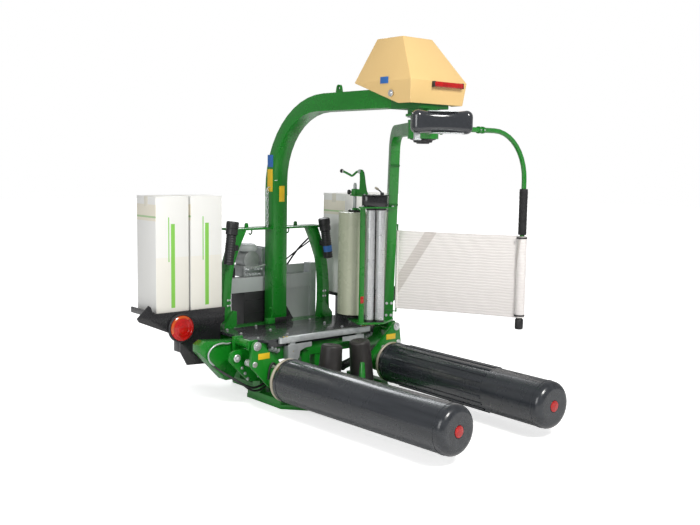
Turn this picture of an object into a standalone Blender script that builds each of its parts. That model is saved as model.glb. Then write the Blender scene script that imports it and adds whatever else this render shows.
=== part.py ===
"""Three-point bale wrapper: a satellite film arm turns under an arch over two driven rollers.

Frame: metres, +X right seen from behind, +Y towards the tractor, +Z up, the floor at z = 0.
Run with: blender --background --python part.py
"""

from math import cos, pi, radians, sin

import bmesh
import bpy
from mathutils import Matrix, Vector

# ---------------------------------------------------------------- driving dimensions
SEAT = 0.0003                 # gap between pieces that touch
RUN = 0.0005                  # gap between pieces that turn on each other
LAP = 0.006                   # how far shapes reach into each other inside one piece

# wrapping axis and satellite
AXIS_Y = -0.585               # the satellite turns about the vertical line x = 0, y = AXIS_Y
ARM_HEADING = 32.0            # degrees from +Y towards +X
ARM_DEPTH = 0.080
ARM_WIDTH = 0.066
ARM_LEG_REACH = 0.915         # radius of the leg's middle at ARM_LEG_LEVEL
ARM_LEG_LEVEL = 1.38
ARM_LEG_SPLAY = 0.122         # outward run of the leg for each metre down
ARM_FOOT = 0.500
HUB_RADIUS = 0.095
HUB_DROP = 0.110              # from the arm's top face down to the hub's underside
WEIGHT_REACH = 0.40
WEIGHT_SPAN = 0.350
WEIGHT_DEPTH = 0.110
WEIGHT_HEIGHT = 0.133
WEIGHT_DROP = 0.093           # from the arm's top face down to the weight's underside

# film stretcher, carried by the satellite's leg
FILM_ROLL_AT = (0.346, 0.445)
FILM_ROLL_RADIUS = 0.117
FILM_ROLL_BOTTOM = 0.535
FILM_WIDTH = 0.750
STRETCH_ROLLER_AT = ((0.332, 0.251), (0.389, 0.204))
STRETCH_ROLLER_RADIUS = 0.033
STRETCH_POST_AT = (0.258, 0.254)
FOOT_PLATE_THICK = 0.012
TOP_PLATE_BOTTOM = 1.322
TOP_PLATE_THICK = 0.010
GEAR_COVER_HEIGHT = 0.078
CLAMP_WEB_TOP = 1.600

# safety arm and guard sheet
SAFETY_REACH = 0.995
SAFETY_DROP = 0.038           # from the arm's top face down to the safety arm's middle line
SAFETY_BEND = 0.330
SAFETY_TUBE = 0.017
SAFETY_FOOT = 0.500
FOAM_RADIUS = 0.029
FOAM_SPAN = (1.163, 1.480)
SHEET_SPAN = (0.578, 1.157)
SHEET_THICK = 0.005
SLEEVE_RADIUS = 0.036

# arch and head
COLUMN_HALF = 0.062
COLUMN_REAR = 0.890
COLUMN_FRONT = 0.998
ARCH_TOP = 2.110
ARCH_DEPTH = 0.120
ARCH_INNER_BEND = 0.500
ARCH_OUTER_BEND = 0.680
ARCH_END = -0.420
EYE_AT = 0.224
GEARBOX_HALF = 0.120
GEARBOX_REAR = -0.680
COLLAR_RADIUS = 0.098
GEARBOX_RISE = 0.040          # above the arch
GEARBOX_DROP = 0.045          # below the arch
HOOD_WALL = 0.006
HOOD_SKIRT = 0.136
HOOD_HEIGHT = 0.410
HOOD_CROWN = 0.126            # half width of the hood's top face
HOOD_HALF = 0.240
HOOD_FRONT = -0.210
HOOD_REAR = -0.715
HOOD_KNEE = -0.600
LIGHT_BAR = (-0.061, 0.193)

# levels that follow the arch
ARCH_UNDER = ARCH_TOP - ARCH_DEPTH
GEARBOX_TOP = ARCH_TOP + GEARBOX_RISE
GEARBOX_BOTTOM = ARCH_UNDER - GEARBOX_DROP
HOOD_BOTTOM = ARCH_UNDER + 0.010
HOOD_WAIST = HOOD_BOTTOM + HOOD_SKIRT
HOOD_TOP = HOOD_BOTTOM + HOOD_HEIGHT
FLANGE_TOP = GEARBOX_BOTTOM - RUN
ARM_TOP = GEARBOX_BOTTOM - 0.040
SAFETY_LEVEL = ARM_TOP - SAFETY_DROP

# rollers and their swing arms
ROLLER_RADIUS = 0.146
ROLLER_LENGTH = 1.497
ROLLER_BASE = (0.470, 0.160, 0.204)
ROLLER_TOE = 1.9              # degrees that each roller's free end leans inwards
PIVOT = (0.630, 0.430)        # x and z of the swing arm's pin
ROD_EYE = (0.650, 0.310)      # x and z of the cylinder's rod eye on the arm
BARREL_PIN = (0.150, 0.180)   # x and z of the cylinder's foot
ARM_PLATE = (0.275, 0.300)    # y of the arm plate's two faces
CYLINDER_PLANE = 0.337
FOOT_FACE = 0.370             # y of the foot bracket's rear face
BARREL_LENGTH = 0.340
BARREL_RADIUS = 0.030
ROD_RADIUS = 0.015
PIN_RADIUS = 0.012
PIVOT_TUBE_RADIUS = 0.028
PIVOT_SPAN = (0.345, 0.500)

# base, deck and what stands on it
DECK_TOP = 0.440
DECK_HALF = 0.565
DECK_REAR = 0.360
DECK_FRONT = 0.870
DECK_THICK = 0.020
DECK_LIP = 0.055
BEAM_TOP = 0.430
FLOOR_PLATE = 0.030
SKID_HALF = (0.420, 0.488)
SKID_HEIGHT = 0.060
SKID_SPAN = (0.205, 0.595)
RUNNER_HALF = (0.260, 0.340)
RUNNER_HEIGHT = 0.050
RUNNER_FRONT = 1.010
FLOOR_FRONT = 0.600
END_PLATE = (0.4205, 0.4455)  # y of the rear end plate's two faces
END_PIN = (0.700, 0.336)
END_LOBE = 0.050
CONE_AT = (0.167, 0.115)      # where each cone's axis meets the floor
CONE_TILT = 6.0               # degrees that each cone leans inwards
CONE_SPAN = (0.048, 0.420)    # along the cone's own axis
CONE_RADII = (0.073, 0.084)
BAR_HALF = 0.395
BAR_LEVEL = (0.412, 0.452)
BRACE_SPAN = (0.905, 0.980)
BRACE_INSET = 0.030
CROSSBAR_LEVEL = (1.1403, 1.156)
TUBE_AT = {-1: (0.440, 0.478), 1: (0.390, 0.440)}  # x of each storage tube's top and bottom
TUBE_SPAN = (0.905, 1.215)
TUBE_PLANE = 0.858
TUBE_RADIUS = 0.043

# film store
BOX_SIZE = (0.250, 0.266, 0.785)
BOX_INNER = 0.561
BOX_GAP = 0.015
BOX_REAR = 0.811
TRAY_TOP = 0.615
LAMP_AT = (0.909, 0.508)
LAMP_RADIUS = 0.100
CARRIER_REAR = 0.785

# hitch
HITCH_FRONT = 1.340
HITCH_REAR = 1.0303
LINK_HALF = 0.410

# ---------------------------------------------------------------- scene set-up
for leftover in list(bpy.data.objects):
    bpy.data.objects.remove(leftover)

PARTS = bpy.data.collections.new("bale_wrapper")
CUTTERS = bpy.data.collections.new("cutters")
for collection in (PARTS, CUTTERS):
    bpy.context.scene.collection.children.link(collection)


def finish(name, colour, roughness, metallic=0.0):
    """A Principled material."""
    made = bpy.data.materials.new(name)
    made.use_nodes = True
    shader = made.node_tree.nodes["Principled BSDF"]
    shader.inputs["Base Color"].default_value = (*colour, 1.0)
    shader.inputs["Roughness"].default_value = roughness
    shader.inputs["Metallic"].default_value = metallic
    return made


GREEN = finish("green_paint", (0.02, 0.27, 0.03), 0.35)
HOOD_CREAM = finish("hood_cream", (0.86, 0.62, 0.30), 0.45)
ZINC = finish("galvanised", (0.60, 0.62, 0.63), 0.45, 0.9)
STEEL = finish("bright_steel", (0.75, 0.76, 0.77), 0.25, 1.0)
BLACK = finish("black_plastic", (0.03, 0.03, 0.035), 0.5)
RUBBER = finish("grey_roller", (0.06, 0.065, 0.075), 0.35)
DECK_GREY = finish("deck_grey", (0.09, 0.09, 0.10), 0.3)
CARTON = finish("carton", (0.90, 0.88, 0.80), 0.7)
FILM = finish("film", (0.55, 0.58, 0.47), 0.35)
CLOTH = finish("guard_cloth", (0.86, 0.82, 0.80), 0.8)
RED = finish("red_lens", (0.70, 0.03, 0.02), 0.2)
AMBER = finish("lamp", (0.80, 0.15, 0.03), 0.2)


# ---------------------------------------------------------------- shape helpers
def as_cutter(obj):
    """Keep a shape as a working piece that is not a part itself."""
    CUTTERS.objects.link(obj)
    obj.hide_render = True
    obj.display_type = "WIRE"
    return obj


def from_bmesh(work):
    mesh = bpy.data.meshes.new("shape")
    work.to_mesh(mesh)
    work.free()
    return as_cutter(bpy.data.objects.new("shape", mesh))


def brick(low, high):
    """A box between two corners."""
    size = [abs(b - a) for a, b in zip(low, high)]
    middle = [(a + b) / 2 for a, b in zip(low, high)]
    work = bmesh.new()
    bmesh.ops.create_cube(work, size=1.0, matrix=Matrix.Translation(middle) @ Matrix.Diagonal((*size, 1.0)))
    return from_bmesh(work)


def rod(start, end, radius, sides=24, end_radius=None):
    """A cylinder or a cone between two points."""
    start, end = Vector(start), Vector(end)
    along = end - start
    turn = along.to_track_quat("Z", "Y").to_matrix().to_4x4()
    work = bmesh.new()
    bmesh.ops.create_cone(
        work, cap_ends=True, segments=sides, radius1=radius,
        radius2=radius if end_radius is None else end_radius, depth=along.length,
        matrix=Matrix.Translation((start + end) / 2) @ turn)
    return from_bmesh(work)


def outline_plate(outline, low, high, plane):
    """A flat outline given a thickness; plane names the outline's two axes."""
    curve = bpy.data.curves.new("outline", "CURVE")
    curve.dimensions = "2D"
    curve.fill_mode = "BOTH"
    curve.extrude = (high - low) / 2
    spline = curve.splines.new("POLY")
    spline.points.add(len(outline) - 1)
    for point, (u, v) in zip(spline.points, outline):
        point.co = (u, v, 0.0, 1.0)
    spline.use_cyclic_u = True
    middle = (high + low) / 2
    frames = {
        "XY": Matrix.Translation((0, 0, middle)),
        "XZ": Matrix.Translation((0, middle, 0)) @ Matrix.Rotation(pi / 2, 4, "X"),
        "YZ": Matrix.Translation((middle, 0, 0))
        @ Matrix(((0, 0, 1, 0), (1, 0, 0, 0), (0, 1, 0, 0), (0, 0, 0, 1))),
    }
    return curve_to_mesh(curve, frames[plane])


def curve_to_mesh(curve, frame=Matrix.Identity(4)):
    """Turn a curve into a closed mesh, its caps welded."""
    drawn = bpy.data.objects.new("curve", curve)
    bpy.context.scene.collection.objects.link(drawn)
    drawn.matrix_world = frame
    bpy.context.view_layer.update()
    evaluated = drawn.evaluated_get(bpy.context.evaluated_depsgraph_get())
    mesh = bpy.data.meshes.new_from_object(evaluated)
    work = bmesh.new()
    work.from_mesh(mesh)
    bmesh.ops.transform(work, matrix=frame, verts=work.verts)
    bmesh.ops.remove_doubles(work, verts=work.verts, dist=0.00001)
    bmesh.ops.recalc_face_normals(work, faces=work.faces)
    work.to_mesh(mesh)
    work.free()
    bpy.data.objects.remove(drawn)
    return as_cutter(bpy.data.objects.new("shape", mesh))


def tube(points, radius, resolution=2):
    """A round bar along a run of points."""
    curve = bpy.data.curves.new("tube", "CURVE")
    curve.dimensions = "3D"
    curve.bevel_depth = radius
    curve.bevel_resolution = resolution
    curve.use_fill_caps = True
    spline = curve.splines.new("POLY")
    spline.points.add(len(points) - 1)
    for point, place in zip(spline.points, points):
        point.co = (*place, 1.0)
    return curve_to_mesh(curve)


def turned(profile, centre, steps=24, closed=False):
    """A shape turned about the vertical line through centre; the profile runs down its outer side."""
    mesh = bpy.data.meshes.new("profile")
    work = bmesh.new()
    corners = [work.verts.new((radius, 0.0, level)) for radius, level in profile]
    ends = corners[1:] + (corners[:1] if closed else [])
    for first, second in zip(corners, ends):
        work.edges.new((first, second))
    work.to_mesh(mesh)
    work.free()
    obj = as_cutter(bpy.data.objects.new("shape", mesh))
    obj.location = centre
    screw = obj.modifiers.new("turn", "SCREW")
    screw.axis = "Z"
    screw.steps = screw.render_steps = steps
    screw.use_merge_vertices = True
    screw.merge_threshold = 0.00001
    return obj


def arc(centre, radius, start, end, count):
    """Points on an arc, in degrees from the outline's first axis."""
    turns = [radians(start + (end - start) * i / count) for i in range(count + 1)]
    return [(centre[0] + radius * cos(a), centre[1] + radius * sin(a)) for a in turns]


def wrap_circles(circles, count=16):
    """The outline of a taut band round some circles, each (x, z, radius)."""
    cloud = sorted({point for x, z, r in circles for point in arc((x, z), r, 0, 360, count)[:-1]})

    def half(points):
        chain = []
        for p in points:
            while len(chain) > 1:
                (ax, az), (bx, bz) = chain[-2:]
                if (bx - ax) * (p[1] - az) - (bz - az) * (p[0] - ax) > 1e-9:
                    break
                chain.pop()
            chain.append(p)
        return chain[:-1]

    return half(cloud) + half(cloud[::-1])


def solid(name, material, base, add=(), cut=(), bevel=0.0):
    """Make one named part from a base shape, shapes joined to it and shapes cut from it."""
    CUTTERS.objects.unlink(base)
    PARTS.objects.link(base)
    base.hide_render = False
    base.display_type = "TEXTURED"
    base.name = base.data.name = name
    base.data.materials.clear()
    base.data.materials.append(material)
    for operation, shapes in (("UNION", add), ("DIFFERENCE", cut)):
        for shape in shapes:
            shape.name = name + "_" + operation.lower()
            step = base.modifiers.new(operation.lower(), "BOOLEAN")
            step.operation = operation
            step.solver = "EXACT"
            step.object = shape
    if bevel:
        rounding = base.modifiers.new("bevel", "BEVEL")
        rounding.width = bevel
        rounding.segments = 1
        rounding.limit_method = "ANGLE"
        rounding.angle_limit = radians(50)
    return base


def joint_empty(name, place, pieces):
    """An empty on a joint's axis that carries the pieces that move with it."""
    empty = bpy.data.objects.new(name, None)
    empty.location = place
    empty.empty_display_size = 0.1
    PARTS.objects.link(empty)
    bpy.context.view_layer.update()
    for piece in pieces:
        piece.parent = empty
        piece.matrix_parent_inverse = empty.matrix_world.inverted()
    return empty


def heading(radius, across=0.0, degrees_from_y=ARM_HEADING):
    """A plan point at a radius from the wrapping axis, and so far to the right of that heading."""
    a = radians(degrees_from_y)
    return (radius * sin(a) + across * cos(a), AXIS_Y + radius * cos(a) - across * sin(a))


def side_x(side, *values):
    """The low and high x of a span on the left (-1) or right (+1) side."""
    return sorted(side * value for value in values)


def side_brick(side, spans):
    """A box whose x span is given for the right side."""
    (x0, x1), (y0, y1), (z0, z1) = spans
    low, high = side_x(side, x0, x1)
    return brick((low, y0, z0), (high, y1, z1))


# ---------------------------------------------------------------- base
def floor_plate():
    """The plate on the floor: skids, two runners to the front and a tail under the cones."""
    inner, outer = RUNNER_HALF[0] - 0.002, RUNNER_HALF[1] + 0.002
    edge = SKID_HALF[1] + 0.002
    half = [(inner, FLOOR_FRONT), (inner, RUNNER_FRONT + 0.002), (outer, RUNNER_FRONT + 0.002),
            (outer, FLOOR_FRONT), (edge, FLOOR_FRONT), (edge, SKID_SPAN[0] - 0.005),
            (0.335, 0.020), (0.325, -0.130), (0.215, -0.200)]
    return outline_plate(half + [(-x, y) for x, y in half[::-1]], 0.0, FLOOR_PLATE, "XY")


def rear_end_plate(side):
    """The upright plate outside the rear beam, with the boss of its pin."""
    x, z = END_PIN
    lobe = arc((side * x, z), END_LOBE, 90, 90 - side * 140, 8)
    outline = [(side * 0.560, BEAM_TOP - 0.042)] + lobe + [
        (side * 0.600, 0.165), (side * 0.500, 0.150), (side * 0.470, 0.300)]
    low, high = END_PLATE
    return [outline_plate(outline, low, high, "XZ"),
            rod((side * x, low - 0.012, z), (side * x, high + 0.010, z), 0.031, 20)]


def base_frame():
    under_deck = DECK_TOP - DECK_THICK - SEAT
    first, last = PIVOT_SPAN
    lug = (0.592, PIVOT[0] + 0.034)
    shapes = []
    for side in (-1, 1):
        shapes += [
            side_brick(side, (SKID_HALF, SKID_SPAN, (FLOOR_PLATE - LAP, SKID_HEIGHT))),
            side_brick(side, (RUNNER_HALF, (0.545, RUNNER_FRONT), (FLOOR_PLATE - LAP, RUNNER_HEIGHT))),
            side_brick(side, ((RUNNER_HALF[0] + 0.003, RUNNER_HALF[1] - 0.003),
                              (0.920, RUNNER_FRONT - 0.002),
                              (RUNNER_HEIGHT - LAP, 0.300))),
            side_brick(side, ((0.430, 0.480), (0.458, 0.545), (SKID_HEIGHT - LAP, 0.300))),
            side_brick(side, ((0.280, 0.370), (0.430, 0.900), (0.305, under_deck - 0.005))),
            # the pivot's two lugs and what carries them
            side_brick(side, (lug, (first - 0.020, first - RUN), (PIVOT[1] - 0.032, PIVOT[1] + 0.032))),
            side_brick(side, (lug, (last + RUN, last + 0.024), (PIVOT[1] - 0.060, PIVOT[1] + 0.034))),
            side_brick(side, ((0.570, 0.598), (first - 0.018, 0.400), (PIVOT[1] - 0.032, PIVOT[1] - 0.012))),
            side_brick(side, ((0.500, 0.596), (0.458, last + 0.022), (0.350, 0.418))),
            # the cylinder's foot bracket
            side_brick(side, ((BARREL_PIN[0] - 0.035, BARREL_PIN[0] + 0.035), (FOOT_FACE + 0.0015, 0.392),
                              (BARREL_PIN[1] - 0.030, 0.330))),
        ]
        shapes += rear_end_plate(side)
        shapes.append(rod(cone_axis(side, FLOOR_PLATE - LAP), cone_axis(side, CONE_SPAN[0] - RUN), 0.020, 16))
    shapes += [
        floor_plate(),
        brick((-0.597, 0.385, 0.290), (0.597, 0.470, under_deck)),
        brick((-0.050, 0.395, FLOOR_PLATE - LAP), (0.050, 0.460, 0.300)),
        rod((0, -0.060, FLOOR_PLATE - LAP), (0, -0.060, 0.300), 0.034, 12, 0.016),
        # the channel that reaches out on the left for the hoses
        brick((-0.575, 0.560, 0.315), (-0.360, 0.620, 0.405)),
        outline_plate([(-0.562, 0.302), (-0.562, 0.418), (-0.860, 0.445), (-0.900, 0.420), (-0.900, 0.370),
                       (-0.700, 0.160), (-0.640, 0.160)], 0.545, 0.640, "XZ"),
    ]
    front_beam = brick((-0.560, 0.880, 0.280), (0.560, 1.030, BEAM_TOP))
    holes = [rod((side * PIVOT[0], 0.30, PIVOT[1]), (side * PIVOT[0], 0.54, PIVOT[1]), PIN_RADIUS + 0.0008)
             for side in (-1, 1)]
    return solid("base_frame", GREEN, front_beam, shapes, holes)


def deck():
    slab = outline_plate(
        [(-DECK_HALF, DECK_FRONT), (-DECK_HALF, 0.430), (-0.480, DECK_REAR), (0.480, DECK_REAR),
         (DECK_HALF, 0.430), (DECK_HALF, DECK_FRONT)], DECK_TOP - DECK_THICK, DECK_TOP, "XY")
    lip = brick((-0.478, DECK_REAR + 0.001, DECK_TOP - DECK_LIP), (0.478, 0.3847, DECK_TOP - 0.003))
    return solid("deck_plate", DECK_GREY, slab, [lip], bevel=0.004)


def bale_stop_bar():
    low, high = BAR_LEVEL
    bar = brick((-BAR_HALF, 0.316, low), (BAR_HALF, 0.350, high))
    legs = [side_brick(side, ((0.270, 0.335), (0.340, 0.3847), (0.290, DECK_TOP - DECK_LIP - SEAT)))
            for side in (-1, 1)]
    webs = [side_brick(side, ((0.280, 0.325), (0.322, 0.347), (0.300, low + LAP))) for side in (-1, 1)]
    return solid("bale_stop_bar", ZINC, bar, legs + webs)


def cone_axis(side, distance):
    """A point on a cone's leaning axis, so far from the floor."""
    lean = radians(CONE_TILT)
    return (side * (CONE_AT[0] - distance * sin(lean)), CONE_AT[1], distance * cos(lean))


def guide_cone(side, name):
    """A cone turned about its own leaning axis, standing just clear of the floor plate."""
    x, y = side * CONE_AT[0], CONE_AT[1]
    top, bottom = CONE_RADII
    low, high = CONE_SPAN
    profile = [(0.0, high), (top - 0.012, high), (top, high - 0.010),
               (bottom, low + 0.012), (bottom - 0.008, low), (0.0, low)]
    cone = solid(name, RUBBER, turned(profile, (0.0, 0.0, 0.0)))
    cone.matrix_world = Matrix.Translation((x, y, 0.0)) @ Matrix.Rotation(radians(-side * CONE_TILT), 4, "Y")
    joint_empty(name + "_axis", (x, y, 0.0), [cone])
    return cone


# ---------------------------------------------------------------- rollers and swing arms
def swing_arm(side, name):
    hub_x, hub_y, hub_z = ROLLER_BASE
    front, back = ARM_PLATE[1], ARM_PLATE[0]
    plate = outline_plate(
        wrap_circles([(side * PIVOT[0], PIVOT[1] - 0.004, 0.034), (side * ROD_EYE[0], ROD_EYE[1], 0.030),
                      (side * hub_x, hub_z, 0.090)]), back, front, "XZ")
    pivot = (side * PIVOT[0], PIVOT[1])
    housing = rod((side * hub_x, hub_y + 0.012, hub_z), (side * hub_x, back + LAP, hub_z), 0.074, 28)
    knuckle = rod((pivot[0], PIVOT_SPAN[0], pivot[1]), (pivot[0], PIVOT_SPAN[1], pivot[1]), PIVOT_TUBE_RADIUS)
    pin = rod((pivot[0], front - LAP, pivot[1]), (pivot[0], PIVOT_SPAN[1] + 0.030, pivot[1]), PIN_RADIUS)
    arm = solid(name, GREEN, plate, [housing, pin, knuckle])
    joint_empty(name + "_axis", (side * PIVOT[0], front, PIVOT[1]), [arm])
    return arm


def wrap_roller(side, name):
    """A smooth tube with a flanged ring at its base and a rounded free end, turned then laid down."""
    reach = ROLLER_LENGTH
    dome = [(ROLLER_RADIUS - 0.045 + 0.045 * cos(a), reach - 0.045 + 0.045 * sin(a))
            for a in (radians(90 - 22.5 * i) for i in range(5))]
    profile = [(0.0, reach)] + dome + [
        (ROLLER_RADIUS, 0.030), (ROLLER_RADIUS - 0.004, 0.030), (ROLLER_RADIUS - 0.004, 0.022),
        (ROLLER_RADIUS, 0.022), (ROLLER_RADIUS, 0.0), (0.050, 0.0), (0.050, -0.010), (0.0, -0.010)]
    roller = solid(name, RUBBER, turned(profile, (0, 0, 0), 36))
    lean = radians(ROLLER_TOE)
    x, y, z = ROLLER_BASE
    # the turned shape's +Z becomes the way to the free end, rearwards and a little inwards
    roller.matrix_world = (Matrix.Translation((side * x, y, z)) @ Matrix.Rotation(side * -lean, 4, "Z")
                           @ Matrix.Rotation(pi / 2, 4, "X"))
    return roller


def cylinder(side):
    """A cylinder across the machine: its foot on the rear beam's bracket, its eye beside the arm plate."""
    name = "left" if side < 0 else "right"
    foot = Vector((side * BARREL_PIN[0], CYLINDER_PLANE, BARREL_PIN[1]))
    eye = Vector((side * ROD_EYE[0], CYLINDER_PLANE, ROD_EYE[1]))
    along = (eye - foot).normalized()
    foot_eye = rod((foot.x, 0.315, foot.z), (foot.x, FOOT_FACE - RUN, foot.z), 0.027)
    tube_body = rod(foot + along * 0.012, foot + along * BARREL_LENGTH, BARREL_RADIUS)
    bore = rod(foot + along * 0.036, foot + along * (BARREL_LENGTH + 0.02), ROD_RADIUS + 0.0006)
    barrel = solid(name + "_cylinder_barrel", GREEN, foot_eye, [tube_body], [bore])
    rod_eye = rod((eye.x, ARM_PLATE[1] + RUN, eye.z), (eye.x, 0.360, eye.z), 0.024)
    shaft = rod(foot + along * 0.042, eye - along * 0.012, ROD_RADIUS, 20)
    piston_rod = solid(name + "_cylinder_rod", STEEL, rod_eye, [shaft])
    joint_empty(name + "_cylinder_foot", foot, [barrel, piston_rod])


# ---------------------------------------------------------------- arch and head
def column_arch():
    inner = arc((COLUMN_REAR - ARCH_INNER_BEND, ARCH_UNDER - ARCH_INNER_BEND), ARCH_INNER_BEND, 0, 90, 10)
    outer = arc((COLUMN_FRONT - ARCH_OUTER_BEND, ARCH_TOP - ARCH_OUTER_BEND), ARCH_OUTER_BEND, 90, 0, 12)
    foot = BEAM_TOP + SEAT
    outline = [(COLUMN_REAR, foot)] + inner + [(ARCH_END, ARCH_UNDER), (ARCH_END, ARCH_TOP)] + outer + [
        (COLUMN_FRONT, foot)]
    beam = outline_plate(outline, -COLUMN_HALF, COLUMN_HALF, "YZ")
    eye_outline = [(EYE_AT - 0.032, ARCH_TOP - LAP)] + arc((EYE_AT, ARCH_TOP + 0.034), 0.024, 180, 0, 8) + [
        (EYE_AT + 0.032, ARCH_TOP - LAP)]
    eye = outline_plate(eye_outline, -0.008, 0.008, "YZ")
    hole = rod((-0.05, EYE_AT, ARCH_TOP + 0.034), (0.05, EYE_AT, ARCH_TOP + 0.034), 0.012, 16)
    return solid("column_arch", GREEN, beam, [eye], [hole])


def head():
    low = (-GEARBOX_HALF, GEARBOX_REAR, GEARBOX_BOTTOM + 0.030)
    block = brick(low, (GEARBOX_HALF, ARCH_END - SEAT, GEARBOX_TOP))
    collar = rod((0, AXIS_Y, GEARBOX_BOTTOM), (0, AXIS_Y, GEARBOX_BOTTOM + 0.105), COLLAR_RADIUS, 28)
    post = brick((-0.030, -0.470, GEARBOX_TOP - LAP), (0.030, -0.430, HOOD_TOP - HOOD_WALL - SEAT))
    return solid("head_gearbox", GREEN, block, [collar, post])


def hood():
    """An open shell: a narrow top, four sloping faces, and a skirt that rises towards the front."""
    crown = HOOD_CROWN
    top = [(-crown, -0.290), (crown, -0.290), (crown, -0.520), (-crown, -0.520)]
    waist = [(-HOOD_HALF, HOOD_FRONT), (HOOD_HALF, HOOD_FRONT),
             (HOOD_HALF, HOOD_REAR), (-HOOD_HALF, HOOD_REAR)]
    work = bmesh.new()
    upper = [work.verts.new((x, y, HOOD_TOP)) for x, y in top]
    middle = [work.verts.new((x, y, HOOD_WAIST)) for x, y in waist]
    knees = [work.verts.new((side * (HOOD_HALF - 0.008), HOOD_KNEE, HOOD_BOTTOM)) for side in (-1, 1)]
    tails = [work.verts.new((side * (HOOD_HALF - 0.014), HOOD_REAR + 0.018, HOOD_BOTTOM)) for side in (-1, 1)]
    work.faces.new(upper)
    for i in range(4):
        j = (i + 1) % 4
        work.faces.new((upper[i], upper[j], middle[j], middle[i]))
    work.faces.new((middle[3], middle[2], tails[1], tails[0]))
    work.faces.new((middle[0], middle[3], tails[0], knees[0]))
    work.faces.new((middle[2], middle[1], knees[1], tails[1]))
    bmesh.ops.recalc_face_normals(work, faces=work.faces)
    if work.faces[0].normal.z < 0:
        bmesh.ops.reverse_faces(work, faces=work.faces)
    shell = from_bmesh(work)
    wall = shell.modifiers.new("wall", "SOLIDIFY")
    wall.thickness = HOOD_WALL
    wall.offset = -1.0
    wall.use_even_offset = True
    return solid("hood", HOOD_CREAM, shell)


def light_bar():
    lean = 0.018 / (HOOD_WAIST - HOOD_BOTTOM)
    high, low = HOOD_WAIST - 0.002, HOOD_WAIST - 0.036
    face = [(HOOD_REAR - SEAT - 0.0005 + lean * (HOOD_WAIST - z), z) for z in (high, low)]
    outline = [face[0], face[1], (HOOD_REAR - 0.018, low), (HOOD_REAR - 0.022, high)]
    return solid("hood_light_bar", RED, outline_plate(outline, *LIGHT_BAR, "YZ"))


# ---------------------------------------------------------------- braces and store
def brace(side, name):
    top = CROSSBAR_LEVEL[0] - SEAT
    outer = [(0.530, BEAM_TOP + SEAT), (0.522, 0.560), (0.520, 0.680), (0.510, 0.790), (0.492, 0.897),
             (0.452, 1.020), (0.405, top)]
    inner = [(0.320, top), (0.378, 1.020), (0.425, 0.897), (0.444, 0.790), (0.452, 0.680), (0.452, 0.560),
             (0.440, BEAM_TOP + SEAT)]
    outline = [(side * (x - BRACE_INSET), z) for x, z in outer + inner]
    return solid(name, GREEN, outline_plate(outline, *BRACE_SPAN, "XZ"))


def top_crossbar():
    notch = COLUMN_HALF + SEAT
    half, back, front = 0.425, BRACE_SPAN[0], 1.040
    outline = [(-half, back), (-notch, back), (-notch, COLUMN_FRONT + SEAT), (notch, COLUMN_FRONT + SEAT),
               (notch, back), (half, back), (half, front), (-half, front)]
    return solid("top_crossbar", GREEN, outline_plate(outline, *CROSSBAR_LEVEL, "XY"))


def storage_tube(side, name):
    """A ribbed tube for papers, held on the brace's rear face by a small block."""
    top_x, bottom_x = TUBE_AT[side]
    top = Vector((side * top_x, TUBE_PLANE, TUBE_SPAN[1]))
    bottom = Vector((side * bottom_x, TUBE_PLANE, TUBE_SPAN[0]))
    along = (bottom - top).normalized()
    cap = rod(top, top + along * 0.100, TUBE_RADIUS, 20)
    body = rod(top + along * 0.094, bottom, TUBE_RADIUS - 0.008, 20, TUBE_RADIUS - 0.016)
    at = top + along * 0.200
    span = (0.385, abs(at.x) + 0.010), (TUBE_PLANE, BRACE_SPAN[0] - SEAT), (at.z - 0.02, at.z + 0.02)
    block = side_brick(side, span)
    return solid(name, BLACK, cap, [body, block])


def box_carrier(side, name):
    outline = [(0.590, 0.228), (0.857, 0.242), (0.910, 0.340), (0.910, 0.400), (0.971, 0.470),
               (1.215, 0.575), (1.230, 0.600), (1.145, 0.680), (1.130, 0.668),
               (1.112, TRAY_TOP + 0.006), (0.555, TRAY_TOP + 0.006), (0.555, 0.520), (0.590, 0.500)]
    panel = outline_plate([(side * x, z) for x, z in outline], CARRIER_REAR, CARRIER_REAR + 0.012, "XZ")
    shapes = [
        side_brick(side, ((0.548, 1.115), (CARRIER_REAR + LAP, 1.095),
                          (TRAY_TOP - 0.022, TRAY_TOP - SEAT))),
        side_brick(side, ((0.5603, 0.850), (0.900, 0.980), (0.310, 0.400))),
        side_brick(side, ((0.600, 0.640), (CARRIER_REAR + LAP, 0.960), (0.330, TRAY_TOP - 0.010))),
        side_brick(side, ((0.800, 0.840), (CARRIER_REAR + LAP, 0.960), (0.330, TRAY_TOP - 0.010))),
        side_brick(side, ((1.105, 1.118), (CARRIER_REAR + LAP, 1.095),
                          (TRAY_TOP - 0.020, TRAY_TOP + 0.018))),
    ]
    return solid(name, BLACK, panel, shapes)


def film_boxes():
    width, depth, height = BOX_SIZE
    rear = BOX_REAR
    for side, label in ((-1, "left"), (1, "right")):
        for place in ("inner", "outer"):
            near = BOX_INNER + (width + BOX_GAP if place == "outer" else 0.0)
            span = (near, near + width), (rear, rear + depth), (TRAY_TOP, TRAY_TOP + height)
            carton = side_brick(side, span)
            solid(f"film_box_{label}_{place}", CARTON, carton, bevel=0.004)


def tail_light(side, name):
    x, z = LAMP_AT
    x *= side
    face = CARRIER_REAR - SEAT
    lens = rod((x, face - 0.018, z), (x, face, z), LAMP_RADIUS, 28)
    rim = rod((x, face - 0.040, z), (x, face - 0.016, z), LAMP_RADIUS - 0.022, 28, LAMP_RADIUS - 0.004)
    return solid(name, AMBER, lens, [rim])


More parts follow.
